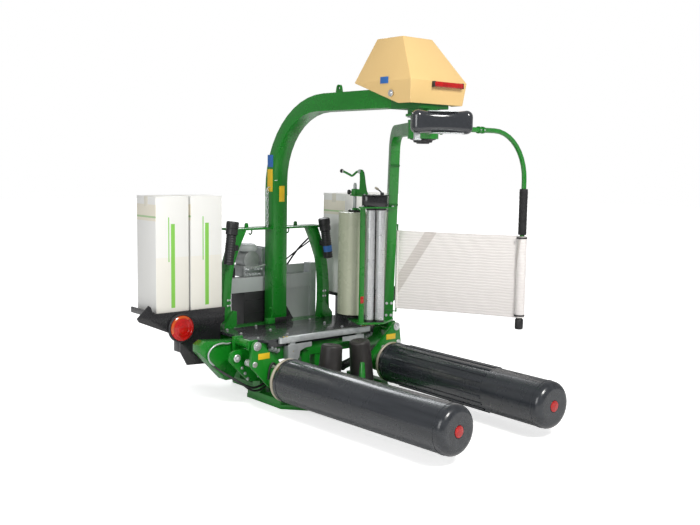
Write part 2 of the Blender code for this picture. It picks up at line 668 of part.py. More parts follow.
# ---------------------------------------------------------------- hitch
def hitch_frame():
    shapes = []
    for side in (-1, 1):
        shapes += [
            side_brick(side, ((0.395, 0.455), (HITCH_REAR, 1.110), (0.140, 0.850))),
            side_brick(side, ((LINK_HALF - 0.047, LINK_HALF - 0.032), (1.080, HITCH_FRONT),
                              (0.200, 0.330))),
            side_brick(side, ((LINK_HALF + 0.032, LINK_HALF + 0.047), (1.080, HITCH_FRONT),
                              (0.200, 0.330))),
            rod((side * (LINK_HALF - 0.060), 1.285, 0.265), (side * (LINK_HALF + 0.060), 1.285, 0.265),
                0.014, 16),
            side_brick(side, ((0.032, 0.048), (1.060, 1.290), (0.760, 0.985))),
        ]
    shapes += [
        brick((-0.400, HITCH_REAR + 0.004, 0.180), (0.400, 1.106, 0.290)),
        brick((0.160, HITCH_REAR + 0.010, 0.284), (0.400, HITCH_REAR + 0.022, 0.671)),
        rod((-0.060, 1.240, 0.930), (0.060, 1.240, 0.930), 0.0125, 16),
    ]
    beam = brick((-0.400, HITCH_REAR + 0.002, 0.665), (0.400, 1.108, 0.775))
    return solid("hitch_frame", ZINC, beam, shapes)


def hydraulics():
    tank = brick((-0.225, HITCH_REAR, 0.325), (0.150, 1.215, 0.6647))
    solid("hydraulic_housing", BLACK, tank, bevel=0.006)
    body = brick((-0.220, 1.045, 0.775 + SEAT), (-0.070, 1.190, 0.860))
    casting = rod((-0.145, 1.050, 0.900), (-0.145, 1.180, 0.900), 0.070, 20)
    solid("valve_block", STEEL, body, [casting])


# ---------------------------------------------------------------- satellite
def leg_radius(level):
    """Radius of the leg's middle line at a height."""
    return ARM_LEG_REACH + ARM_LEG_SPLAY * (ARM_LEG_LEVEL - level)


def turn_to_heading(obj, degrees_from_y):
    """Turn a shape drawn along +Y from the origin to a heading about the wrapping axis."""
    matrix = Matrix.Translation((0, AXIS_Y, 0)) @ Matrix.Rotation(-radians(degrees_from_y), 4, "Z")
    obj.data.transform(matrix)
    return obj


def satellite_arm():
    half = ARM_DEPTH / 2
    bend_at = ARM_TOP - 0.265
    tail = -(WEIGHT_REACH - SEAT)
    under = ARM_TOP - ARM_DEPTH
    outer_bend = arc((leg_radius(bend_at) + half - 0.180, ARM_TOP - 0.180), 0.180, 0, 90, 6)
    inner_bend = arc((leg_radius(bend_at) - half - 0.100, under - 0.100), 0.100, 90, 0, 5)
    outline = ([(leg_radius(ARM_FOOT) - half, ARM_FOOT), (leg_radius(ARM_FOOT) + half, ARM_FOOT)]
               + outer_bend + [(tail, ARM_TOP), (tail, under)] + inner_bend)
    beam = turn_to_heading(outline_plate(outline, -ARM_WIDTH / 2, ARM_WIDTH / 2, "YZ"), ARM_HEADING)
    hub = rod((0, AXIS_Y, ARM_TOP - HUB_DROP), (0, AXIS_Y, ARM_TOP + 0.004), HUB_RADIUS, 28)
    neck = rod((0, AXIS_Y, ARM_TOP - 0.02), (0, AXIS_Y, FLANGE_TOP - 0.012), 0.045, 24)
    flange = rod((0, AXIS_Y, FLANGE_TOP - 0.014), (0, AXIS_Y, FLANGE_TOP), 0.110, 28)
    shapes = [hub, neck, flange]
    # the guard sheet's upright rod on two hooks, on the leg's right face
    across = ARM_WIDTH / 2 + 0.024
    low, high = SHEET_SPAN[0] - 0.025, SHEET_SPAN[1] + 0.045
    x, y = heading(leg_radius(0.9) + 0.015, across)
    shapes.append(rod((x, y, low), (x, y, high), 0.006, 10))
    for level in (low + 0.006, high - 0.006):
        start = heading(leg_radius(0.9) + 0.015, ARM_WIDTH / 2 - LAP)
        shapes.append(rod((*start, level), (x, y, level), 0.0045, 8))
    return solid("satellite_arm", GREEN, beam, shapes)


def counterweight():
    """A block with a hollowed outer face, opposite the film roll."""
    reach, span = WEIGHT_REACH, WEIGHT_SPAN / 2
    hollow = 0.018
    face = [(reach + WEIGHT_DEPTH - hollow * (1 - (x / span) ** 2), x)
            for x in [span - 2 * span * i / 8 for i in range(9)]]
    face[0] = (face[0][0] - 0.020, face[0][1])
    face[-1] = (face[-1][0] - 0.020, face[-1][1])
    points = [(reach, -span + 0.03), (reach, span - 0.03), (reach + 0.035, span)]
    points += face + [(reach + 0.035, -span)]
    # radius runs along +Y and the span along +X before the block is turned to its heading
    outline = [(across, radius) for radius, across in points]
    bottom = ARM_TOP - WEIGHT_DROP
    block = outline_plate(outline, bottom, bottom + WEIGHT_HEIGHT, "XY")
    return solid("counterweight", BLACK, turn_to_heading(block, ARM_HEADING + 180.0), bevel=0.008)


def stretch_frame():
    foot = ARM_FOOT - SEAT
    leg = heading(leg_radius(ARM_FOOT))
    roll, (first, second), post = FILM_ROLL_AT, STRETCH_ROLLER_AT, STRETCH_POST_AT
    spots = [(*leg, 0.045), (*roll, 0.040), (*first, 0.040), (*second, 0.040), (*post, 0.030)]
    bottom = outline_plate(wrap_circles(spots, 12), foot - FOOT_PLATE_THICK, foot, "XY")
    upper = TOP_PLATE_BOTTOM
    inner_leg = heading(leg_radius(upper + TOP_PLATE_THICK) - ARM_DEPTH / 2 - 0.018 - SEAT)
    top_spots = [(*inner_leg, 0.010), (*first, 0.036), (*second, 0.003), (*post, 0.030)]
    top = outline_plate(wrap_circles(top_spots, 12), upper, upper + TOP_PLATE_THICK, "XY")
    x, y = post
    upright = brick((x - 0.020, y - 0.006, foot - 0.006), (x + 0.020, y + 0.006, upper + LAP))
    spindle = rod((*roll, foot - LAP), (*roll, FILM_ROLL_BOTTOM - RUN), 0.032, 20)
    return solid("stretch_frame", GREEN, bottom, [top, upright, spindle])


def gear_cover():
    base = TOP_PLATE_BOTTOM + TOP_PLATE_THICK + SEAT
    (ax, ay), (bx, by) = STRETCH_ROLLER_AT
    outline = wrap_circles([(ax - 0.020, ay + 0.018, 0.040), (bx + 0.004, by - 0.004, 0.038)], 12)
    return solid("gear_cover", BLACK, outline_plate(outline, base, base + GEAR_COVER_HEIGHT, "XY"))


def film_clamp():
    """The bracket over the film roll with its spindle and pressure disc."""
    level = TOP_PLATE_BOTTOM + TOP_PLATE_THICK + GEAR_COVER_HEIGHT + 2 * SEAT
    roll, first = Vector((*FILM_ROLL_AT, 0)), Vector((*STRETCH_ROLLER_AT[0], 0))
    span = wrap_circles([(roll.x, roll.y, 0.028), (first.x - 0.010, first.y + 0.010, 0.030)], 12)
    base = outline_plate(span, level, level + 0.010, "XY")
    along = (first - roll).normalized()
    web_low, web_high = level + 0.004, CLAMP_WEB_TOP
    foot = roll + along * 0.090
    web = tube([(*(roll + along * 0.040).xy, web_low), (*(roll + along * 0.045).xy, web_low + 0.070),
                (*(roll + along * 0.020).xy, web_high - 0.020),
                (*(roll - along * 0.010).xy, web_high)], 0.014)
    strut = brick((foot.x - 0.010, foot.y - 0.006, web_low),
                  (foot.x + 0.010, foot.y + 0.006, web_low + 0.020))
    disc_low = FILM_ROLL_BOTTOM + FILM_WIDTH + RUN
    disc = rod((*FILM_ROLL_AT, disc_low), (*FILM_ROLL_AT, disc_low + 0.014), 0.045, 20)
    spindle = rod((*FILM_ROLL_AT, disc_low + 0.010), (*FILM_ROLL_AT, level + 0.050), 0.013, 16)
    return solid("film_clamp", GREEN, base, [web, strut, disc, spindle])


def film_roll():
    radius = FILM_ROLL_RADIUS
    top, bottom = FILM_ROLL_BOTTOM + FILM_WIDTH, FILM_ROLL_BOTTOM
    profile = [(0.0, top), (radius, top), (radius, bottom), (0.0, bottom)]
    roll = solid("film_roll", FILM, turned(profile, (*FILM_ROLL_AT, 0.0), 32))
    joint_empty("film_roll_axis", (*FILM_ROLL_AT, 0.0), [roll])
    return roll


def stretch_roller(place, name):
    low, high = ARM_FOOT + RUN - SEAT, TOP_PLATE_BOTTOM - RUN
    radius = STRETCH_ROLLER_RADIUS
    profile = [(0.0, high), (0.014, high), (0.014, high - 0.014), (radius, high - 0.014),
               (radius, low + 0.014), (0.014, low + 0.014), (0.014, low), (0.0, low)]
    roller = solid(name, STEEL, turned(profile, (*place, 0.0), 24))
    joint_empty(name + "_axis", (*place, 0.0), [roller])
    return roller


def safety_arm():
    bend = [(x, AXIS_Y, z) for x, z in arc(
        (SAFETY_REACH - SAFETY_BEND, SAFETY_LEVEL - SAFETY_BEND), SAFETY_BEND, 90, 0, 10)]
    run = [(HUB_RADIUS + SEAT, AXIS_Y, SAFETY_LEVEL)] + bend + [(SAFETY_REACH, AXIS_Y, SAFETY_FOOT)]
    bar = tube(run, SAFETY_TUBE)
    collars = [rod((x, AXIS_Y, SAFETY_LEVEL), (x + 0.012, AXIS_Y, SAFETY_LEVEL), 0.021, 12)
               for x in (0.520, 0.550)]
    return solid("safety_arm", GREEN, bar, collars)


def foam_bar():
    low, high = FOAM_SPAN
    inner = SAFETY_TUBE + SEAT + 0.0003
    profile = [(inner, high), (FOAM_RADIUS, high), (FOAM_RADIUS, low), (inner, low)]
    return solid("foam_bar", BLACK, turned(profile, (SAFETY_REACH, AXIS_Y, 0.0), 16, closed=True))


def guard_sheet():
    """The sheet from the leg's rod to a sleeve round the safety arm."""
    low, high = SHEET_SPAN
    inner = SAFETY_TUBE + SEAT + 0.0003
    sleeve_low, sleeve_high = low + 0.005, high - 0.005
    profile = [(inner, sleeve_high), (SLEEVE_RADIUS, sleeve_high),
               (SLEEVE_RADIUS, sleeve_low), (inner, sleeve_low)]
    sleeve = turned(profile, (SAFETY_REACH, AXIS_Y, 0.0), 16, closed=True)
    rod_at = Vector(heading(leg_radius(0.9) + 0.015, ARM_WIDTH / 2 + 0.024))
    bar_at = Vector((SAFETY_REACH, AXIS_Y))
    along = (bar_at - rod_at).normalized()
    across = Vector((-along.y, along.x)) * SHEET_THICK / 2
    start, end = rod_at + along * (0.006 + SEAT), bar_at - along * (SLEEVE_RADIUS - 0.008)
    outline = [tuple(start - across), tuple(end - across), tuple(end + across), tuple(start + across)]
    return solid("guard_sheet", CLOTH, outline_plate(outline, low, high, "XY"), [sleeve])


def satellite():
    pieces = [satellite_arm(), counterweight(), stretch_frame(), gear_cover(), film_clamp(), safety_arm(),
              foam_bar(), guard_sheet()]
    joint_empty("satellite_axis", (0, AXIS_Y, 0), pieces)
    film_roll()
    stretch_roller(STRETCH_ROLLER_AT[0], "stretch_roller_slow")
    stretch_roller(STRETCH_ROLLER_AT[1], "stretch_roller_fast")


def build():
    base_frame()
    deck()
    bale_stop_bar()
    column_arch()
    head()
    hood()
    light_bar()
    top_crossbar()
    film_boxes()
    hitch_frame()
    hydraulics()
    for side, label in ((-1, "left"), (1, "right")):
        guide_cone(side, label + "_guide_cone")
        swing_arm(side, label + "_swing_arm")
        wrap_roller(side, label + "_wrap_roller")
        cylinder(side)
        brace(side, label + "_brace")
        storage_tube(side, label + "_storage_tube")
        box_carrier(side, label + "_box_carrier")
        tail_light(side, label + "_tail_light")
    satellite()


build()
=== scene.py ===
"""Looks of the bale wrapper: paint, steel, rollers, film stretcher, guard sheet, hoses and small fittings."""
from math import cos, pi, radians, sin

import bpy
from mathutils import Matrix, Vector


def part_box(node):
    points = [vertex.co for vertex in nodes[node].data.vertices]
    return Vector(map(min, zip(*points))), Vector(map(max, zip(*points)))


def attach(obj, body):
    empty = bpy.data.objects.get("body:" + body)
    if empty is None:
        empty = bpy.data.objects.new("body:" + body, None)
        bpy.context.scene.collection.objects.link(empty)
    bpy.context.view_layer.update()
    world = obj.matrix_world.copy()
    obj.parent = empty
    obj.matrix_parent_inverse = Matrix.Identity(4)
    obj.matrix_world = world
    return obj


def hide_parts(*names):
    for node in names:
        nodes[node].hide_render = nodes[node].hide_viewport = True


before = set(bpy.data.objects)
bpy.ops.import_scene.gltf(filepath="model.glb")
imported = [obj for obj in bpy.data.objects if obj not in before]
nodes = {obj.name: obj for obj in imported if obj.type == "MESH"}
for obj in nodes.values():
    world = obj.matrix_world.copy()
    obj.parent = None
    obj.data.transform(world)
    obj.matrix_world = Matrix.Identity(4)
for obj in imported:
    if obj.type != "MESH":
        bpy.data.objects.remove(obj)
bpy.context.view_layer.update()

# ---------------------------------------------------------------- camera and light
EYE = (-3.979, -4.553, 1.648)
yaw, dip, roll = radians(40.626), radians(6.364), radians(0.9)
forward = Vector((sin(yaw) * cos(dip), cos(yaw) * cos(dip), -sin(dip)))
flat_right = Vector((cos(yaw), -sin(yaw), 0.0))
flat_up = flat_right.cross(forward)
right = flat_right * cos(roll) + flat_up * sin(roll)
up = flat_up * cos(roll) - flat_right * sin(roll)
lens = bpy.data.cameras.new("camera")
lens.lens, lens.sensor_width, lens.clip_end = 46.43, 36.0, 200.0
camera = bpy.data.objects.new("camera", lens)
bpy.context.scene.collection.objects.link(camera)
camera.matrix_world = Matrix.Translation(EYE) @ Matrix((right, up, -forward)).transposed().to_4x4()
bpy.context.scene.camera = camera
bpy.context.scene.view_settings.view_transform = "Standard"

world = bpy.data.worlds.new("studio")
bpy.context.scene.world = world
world.use_nodes = True
sky = world.node_tree
seen, lit = sky.nodes["Background"], sky.nodes.new("ShaderNodeBackground")
for room, strength in ((seen, 1.0), (lit, 0.34)):
    room.inputs["Color"].default_value = (1.0, 1.0, 1.0, 1.0)
    room.inputs["Strength"].default_value = strength
ray, pick = sky.nodes.new("ShaderNodeLightPath"), sky.nodes.new("ShaderNodeMixShader")
sky.links.new(ray.outputs["Is Camera Ray"], pick.inputs[0])
sky.links.new(lit.outputs[0], pick.inputs[1])
sky.links.new(seen.outputs[0], pick.inputs[2])
sky.links.new(pick.outputs[0], sky.nodes["World Output"].inputs["Surface"])


def softbox(name, at, aim, size, power, colour=(1.0, 1.0, 1.0)):
    """A square soft light at a place, turned to face a point."""
    lamp = bpy.data.lights.new(name, "AREA")
    lamp.size, lamp.energy, lamp.color = size, power, colour
    box = bpy.data.objects.new(name, lamp)
    bpy.context.scene.collection.objects.link(box)
    box.location = at
    box.rotation_euler = (Vector(aim) - Vector(at)).to_track_quat("-Z", "Y").to_euler()


softbox("key", (-0.9, -5.4, 5.4), (0.0, -0.2, 0.9), 1.6, 330.0, (1.0, 0.98, 0.95))
softbox("fill", (-5.2, -1.6, 2.6), (0.0, -0.2, 0.8), 2.6, 90.0)
softbox("back", (2.5, 4.5, 4.5), (0.0, 0.3, 1.2), 2.4, 110.0, (0.95, 0.97, 1.0))


# ---------------------------------------------------------------- finishes
def add(tree, kind, **values):
    """A node of a kind; values go to its settings, or to its inputs by label."""
    node = tree.nodes.new("ShaderNode" + kind)
    for label, value in values.items():
        if hasattr(node, label):
            setattr(node, label, value)
        else:
            node.inputs[label.replace("_", " ")].default_value = value
    return node


def wire(tree, *pairs):
    """Link each pair of sockets."""
    for source, target in pairs:
        tree.links.new(source, target)


def group(name, takes, gives):
    """A shared effect: a node group with its named inputs and outputs."""
    tree = bpy.data.node_groups.new(name, "ShaderNodeTree")
    for label, kind, value in takes:
        socket = tree.interface.new_socket(label, in_out="INPUT", socket_type="NodeSocket" + kind)
        socket.default_value = value
    for label, kind in gives:
        tree.interface.new_socket(label, in_out="OUTPUT", socket_type="NodeSocket" + kind)
    return tree, tree.nodes.new("NodeGroupInput").outputs, tree.nodes.new("NodeGroupOutput").inputs


def build_weathering():
    """Patches of a second tone, and pale dust that settles on faces that look up."""
    tree, takes, gives = group("weathering", [("Clean", "Color", (0.5, 0.5, 0.5, 1)),
        ("Tired", "Color", (0.4, 0.4, 0.4, 1)), ("Dust", "Color", (0.6, 0.57, 0.5, 1)), ("Scale", "Float", 5.0),
        ("Patches", "Float", 0.5), ("Dustiness", "Float", 0.1)], [("Color", "Color"), ("Mask", "Float")])
    place = add(tree, "TexCoord")
    cloud = add(tree, "TexNoise", Detail=5.0, Roughness=0.6)
    spread = add(tree, "MapRange", From_Min=0.38, From_Max=0.68)
    amount = add(tree, "Math", operation="MULTIPLY")
    tone = add(tree, "Mix", data_type="RGBA")
    facing = add(tree, "NewGeometry")
    split = add(tree, "SeparateXYZ")
    level = add(tree, "MapRange", From_Min=0.55, From_Max=1.0)
    specks = add(tree, "TexNoise", Scale=38.0, Detail=6.0, Roughness=0.7)
    speck_range = add(tree, "MapRange", From_Min=0.3, From_Max=0.7)
    settled = add(tree, "Math", operation="MULTIPLY")
    dusty = add(tree, "Math", operation="MULTIPLY")
    last = add(tree, "Mix", data_type="RGBA")
    wire(tree, (place.outputs["Object"], cloud.inputs["Vector"]), (takes["Scale"], cloud.inputs["Scale"]),
        (cloud.outputs["Fac"], spread.inputs["Value"]), (spread.outputs["Result"], amount.inputs[0]),
        (takes["Patches"], amount.inputs[1]), (amount.outputs[0], tone.inputs["Factor"]),
        (takes["Clean"], tone.inputs["A"]), (takes["Tired"], tone.inputs["B"]), (facing.outputs["Normal"],
        split.inputs["Vector"]), (split.outputs["Z"], level.inputs["Value"]), (place.outputs["Object"],
        specks.inputs["Vector"]), (specks.outputs["Fac"], speck_range.inputs["Value"]),
        (level.outputs["Result"], settled.inputs[0]), (speck_range.outputs["Result"], settled.inputs[1]),
        (settled.outputs[0], dusty.inputs[0]), (takes["Dustiness"], dusty.inputs[1]),
        (dusty.outputs[0], last.inputs["Factor"]), (tone.outputs["Result"], last.inputs["A"]),
        (takes["Dust"], last.inputs["B"]), (last.outputs["Result"], gives["Color"]),
        (dusty.outputs[0], gives["Mask"]))
    return tree


def build_gloss():
    """Roughness that wanders between two values, like polish and handling."""
    tree, takes, gives = group("gloss_spread", [("Low", "Float", 0.3), ("High", "Float", 0.4),
        ("Scale", "Float", 9.0)], [("Roughness", "Float")])
    place = add(tree, "TexCoord")
    cloud = add(tree, "TexNoise", Detail=6.0, Roughness=0.65)
    spread = add(tree, "MapRange", From_Min=0.35, From_Max=0.65)
    wire(tree, (place.outputs["Object"], cloud.inputs["Vector"]), (takes["Scale"], cloud.inputs["Scale"]),
        (cloud.outputs["Fac"], spread.inputs["Value"]), (takes["Low"], spread.inputs["To Min"]),
        (takes["High"], spread.inputs["To Max"]), (spread.outputs["Result"], gives["Roughness"]))
    return tree


def build_grain():
    """Fine surface height: orange peel on paint, moulding grain on plastic."""
    tree, takes, gives = group("fine_grain", [("Scale", "Float", 200.0), ("Coarse", "Float", 20.0)],
        [("Height", "Float")])
    place = add(tree, "TexCoord")
    fine = add(tree, "TexNoise", Detail=3.0)
    broad = add(tree, "TexNoise", Detail=2.0)
    both = add(tree, "Math", operation="ADD")
    wire(tree, (place.outputs["Object"], fine.inputs["Vector"]), (takes["Scale"], fine.inputs["Scale"]),
        (place.outputs["Object"], broad.inputs["Vector"]), (takes["Coarse"], broad.inputs["Scale"]),
        (fine.outputs["Fac"], both.inputs[0]), (broad.outputs["Fac"], both.inputs[1]),
        (both.outputs[0], gives["Height"]))
    return tree


WEATHERING, GLOSS, GRAIN = build_weathering(), build_gloss(), build_grain()


def placed(tree, shared, **values):
    """One use of a shared effect in a material."""
    node = tree.nodes.new("ShaderNodeGroup")
    node.node_tree = shared
    for label, value in values.items():
        node.inputs[label].default_value = value
    return node


def finish(name, clean, tired, gloss, slot, metallic=0.0, coat=0.0, patches=(5.0, 0.5), dust=0.12,
        grain=(220.0, 14.0, 0.0004), dust_tone=(0.55, 0.52, 0.46)):
    """A surface: two tones, dust, wandering gloss and fine grain."""
    material = bpy.data.materials.new(name)
    material.use_nodes = True
    material["slot"] = slot
    tree = material.node_tree
    shader = tree.nodes["Principled BSDF"]
    tone = placed(tree, WEATHERING, Clean=(*clean, 1), Tired=(*tired, 1), Dust=(*dust_tone, 1),
        Scale=patches[0], Patches=patches[1], Dustiness=dust)
    sheen = placed(tree, GLOSS, Low=gloss[0], High=gloss[1], Scale=patches[0] * 1.7)
    relief = placed(tree, GRAIN, Scale=grain[0], Coarse=grain[1])
    bump = add(tree, "Bump", Strength=0.6, Distance=grain[2])
    shader.inputs["Metallic"].default_value = metallic
    shader.inputs["Coat Weight"].default_value = coat
    shader.inputs["Coat Roughness"].default_value = 0.12
    wire(tree, (tone.outputs["Color"], shader.inputs["Base Color"]), (sheen.outputs["Roughness"],
        shader.inputs["Roughness"]), (relief.outputs["Height"], bump.inputs["Height"]), (bump.outputs["Normal"],
        shader.inputs["Normal"]))
    return material


green = finish("green_paint", (0.005, 0.2, 0.012), (0.008, 0.245, 0.018), (0.24, 0.36), "green_paint", coat=0.4,
    patches=(2.5, 0.6), dust=0.035)
dark_green = finish("shaded_green_paint", (0.004, 0.12, 0.012), (0.006, 0.16, 0.016), (0.3, 0.45),
    "green_paint", coat=0.2, patches=(3.0, 0.6))
cream = finish("hood_cream", (0.82, 0.57, 0.245), (0.78, 0.53, 0.215), (0.3, 0.42), "hood_cream", coat=0.25,
    patches=(2.0, 0.5), dust=0.05, grain=(420.0, 30.0, 0.0003))
zinc = finish("galvanised", (0.66, 0.69, 0.7), (0.5, 0.53, 0.55), (0.3, 0.5), "galvanised", metallic=0.55,
    patches=(26.0, 0.8), dust=0.1, grain=(160.0, 60.0, 0.0004))
bright = finish("bright_steel", (0.72, 0.73, 0.74), (0.56, 0.58, 0.6), (0.26, 0.38), "bright_steel",
    metallic=0.75, patches=(14.0, 0.3), dust=0.0, grain=(300.0, 3.0, 0.00004))
yellow_zinc = finish("yellow_zinc", (0.78, 0.62, 0.22), (0.65, 0.48, 0.18), (0.25, 0.4), "bright_steel",
    metallic=0.9, patches=(30.0, 0.6), dust=0.05)
black = finish("black_plastic", (0.016, 0.016, 0.018), (0.03, 0.03, 0.032), (0.34, 0.5), "black_plastic",
    patches=(7.0, 0.6), dust=0.06, grain=(600.0, 60.0, 0.0003))
black_paint = finish("black_paint", (0.012, 0.012, 0.014), (0.024, 0.024, 0.027), (0.2, 0.34), "black_paint",
    coat=0.4, patches=(5.0, 0.6), dust=0.1)
rubber = finish("hose_rubber", (0.014, 0.014, 0.015), (0.03, 0.03, 0.03), (0.42, 0.6), "black_rubber",
    patches=(20.0, 0.6), dust=0.08, grain=(700.0, 90.0, 0.0004))
gloss_black = finish("gloss_black_casting", (0.022, 0.025, 0.03), (0.034, 0.037, 0.044), (0.12, 0.24),
    "black_paint", coat=0.7, patches=(4.0, 0.6), dust=0.08, grain=(120.0, 12.0, 0.0004))
roller_grey = finish("roller_grey", (0.018, 0.021, 0.026), (0.028, 0.032, 0.038), (0.2, 0.32), "grey_roller",
    coat=0.35, patches=(3.0, 0.7), dust=0.04, grain=(300.0, 1.0, 0.00001))
cone_grey = finish("cone_grey", (0.022, 0.02, 0.02), (0.036, 0.032, 0.03), (0.34, 0.5), "grey_roller",
    patches=(9.0, 0.7), dust=0.04)
deck_grey = finish("deck_grey", (0.036, 0.039, 0.043), (0.06, 0.064, 0.069), (0.16, 0.28), "deck_grey",
    coat=0.6, patches=(6.0, 0.7), dust=0.06, grain=(260.0, 24.0, 0.0004))
cast_grey = finish("cast_alloy", (0.42, 0.44, 0.44), (0.28, 0.3, 0.3), (0.35, 0.5), "galvanised", metallic=0.6,
    patches=(18.0, 0.7), grain=(240.0, 50.0, 0.0006))
pale_grey = finish("pale_grey_paint", (0.5, 0.53, 0.53), (0.42, 0.45, 0.46), (0.3, 0.45), "galvanised",
    patches=(6.0, 0.6), dust=0.1)
white = finish("white_cap", (0.8, 0.8, 0.78), (0.7, 0.7, 0.68), (0.3, 0.45), "carton", dust=0.03)
yellow = finish("yellow_label", (0.85, 0.55, 0.02), (0.78, 0.5, 0.02), (0.3, 0.4), "hood_cream", dust=0.03)
blue = finish("blue_label", (0.03, 0.14, 0.45), (0.04, 0.18, 0.52), (0.3, 0.4), "black_plastic", dust=0.03)
red = finish("red_lens", (0.52, 0.004, 0.004), (0.24, 0.002, 0.002), (0.16, 0.28), "red_lens", coat=0.3,
    patches=(30.0, 0.6), dust=0.0, grain=(90.0, 60.0, 0.0006))
amber = finish("amber_lens", (0.62, 0.085, 0.004), (0.46, 0.045, 0.003), (0.1, 0.2), "lamp_lens", coat=0.8,
    patches=(30.0, 0.6), dust=0.0, grain=(90.0, 60.0, 0.0006))
foam_black = finish("foam_black", (0.01, 0.01, 0.012), (0.022, 0.022, 0.024), (0.62, 0.85), "black_foam",
    patches=(12.0, 0.6), dust=0.03, grain=(900.0, 200.0, 0.0012))
beige = finish("beige_ring", (0.52, 0.47, 0.38), (0.42, 0.38, 0.3), (0.3, 0.5), "galvanised", metallic=0.3,
    patches=(20.0, 0.6))
card = finish("carton_edge", (0.8, 0.77, 0.68), (0.74, 0.71, 0.6), (0.5, 0.62), "carton", patches=(4.0, 0.5),
    dust=0.04)


def streaked(material, along, scale, low, high, clean, tired):
    """Long streaks in one direction, as rolled, wrapped or drawn surfaces have."""
    tree = material.node_tree
    shader = tree.nodes["Principled BSDF"]
    place, stretch = add(tree, "TexCoord"), add(tree, "Mapping")
    stretch.inputs["Scale"].default_value = along
    lines = add(tree, "TexNoise", Scale=scale, Detail=4.0)
    spread = add(tree, "MapRange", From_Min=low, From_Max=high)
    tone = add(tree, "Mix", data_type="RGBA")
    tone.inputs["A"].default_value, tone.inputs["B"].default_value = (*clean, 1), (*tired, 1)
    wire(tree, (place.outputs["Object"], stretch.inputs["Vector"]),
        (stretch.outputs[0], lines.inputs["Vector"]), (lines.outputs["Fac"], spread.inputs["Value"]),
        (spread.outputs["Result"], tone.inputs["Factor"]), (tone.outputs["Result"],
        shader.inputs["Base Color"]))
    return material


film = streaked(finish("film", (0.5, 0.5, 0.4), (0.5, 0.5, 0.4), (0.22, 0.34), "film", coat=0.4,
    grain=(60.0, 2.0, 0.0001)), (9.0, 9.0, 0.35), 4.0, 0.3, 0.7, (0.5, 0.53, 0.39), (0.42, 0.45, 0.33))
streaked(roller_grey, (7.0, 0.35, 7.0), 4.0, 0.3, 0.7, (0.017, 0.02, 0.025), (0.034, 0.038, 0.045))


def build_carton():
    """Pale board with two green stripes, a soft warm field and a pale corner patch, without lettering."""
    material = finish("carton", (0.86, 0.86, 0.84), (0.82, 0.82, 0.79), (0.42, 0.55), "carton",
        patches=(3.0, 0.5), dust=0.03)
    tree = material.node_tree
    shader = tree.nodes["Principled BSDF"]
    board = shader.inputs["Base Color"].links[0].from_socket
    place, split, facing, turn = (add(tree, "TexCoord"), add(tree, "SeparateXYZ"), add(tree, "NewGeometry"),
        add(tree, "SeparateXYZ"))
    wire(tree, (place.outputs["Object"], split.inputs[0]), (facing.outputs["Normal"], turn.inputs[0]))

    def step(source, operation, *values):
        node = add(tree, "Math", operation=operation)
        wire(tree, (source, node.inputs[0]))
        for i, value in enumerate(values):
            if hasattr(value, "is_output"):
                wire(tree, (value, node.inputs[i + 1]))
            else:
                node.inputs[i + 1].default_value = value
        return node.outputs[0]

    along = step(step(step(split.outputs["X"], "ABSOLUTE"), "SUBTRACT", 0.561), "WRAP", 0.265, 0.0)
    faces_rear = step(turn.outputs["Y"], "LESS_THAN", -0.5)
    faces_side = step(step(turn.outputs["X"], "ABSOLUTE"), "GREATER_THAN", 0.5)
    height = split.outputs["Z"]

    def band(value, middle, half):
        return step(value, "COMPARE", middle, half)

    bar = step(step(band(along, 0.122, 0.015), "MULTIPLY", band(height, 0.93, 0.285)), "MULTIPLY", faces_rear)
    thin = step(step(band(along, 0.153, 0.004), "MULTIPLY", band(height, 1.11, 0.15)), "MULTIPLY", faces_rear)
    dashes = step(bar, "MAXIMUM", thin)
    warm = step(step(band(height, 0.78, 0.21), "MULTIPLY", faces_rear), "MULTIPLY", 0.22)
    corner = step(step(band(height, 1.29, 0.055), "MULTIPLY", faces_side), "MULTIPLY", 0.3)
    swash = step(step(band(height, 1.262, 0.006), "MULTIPLY", faces_side), "MULTIPLY", 0.6)
    for mask, ink in ((warm, (0.83, 0.74, 0.52)), (corner, (0.8, 0.66, 0.32)), (swash, (0.2, 0.52, 0.14)),
            (dashes, (0.24, 0.6, 0.09))):
        layer = add(tree, "Mix", data_type="RGBA")
        layer.inputs["B"].default_value = (*ink, 1)
        wire(tree, (mask, layer.inputs["Factor"]), (board, layer.inputs["A"]))
        board = layer.outputs["Result"]
    wire(tree, (board, shader.inputs["Base Color"]))
    return material


carton = build_carton()


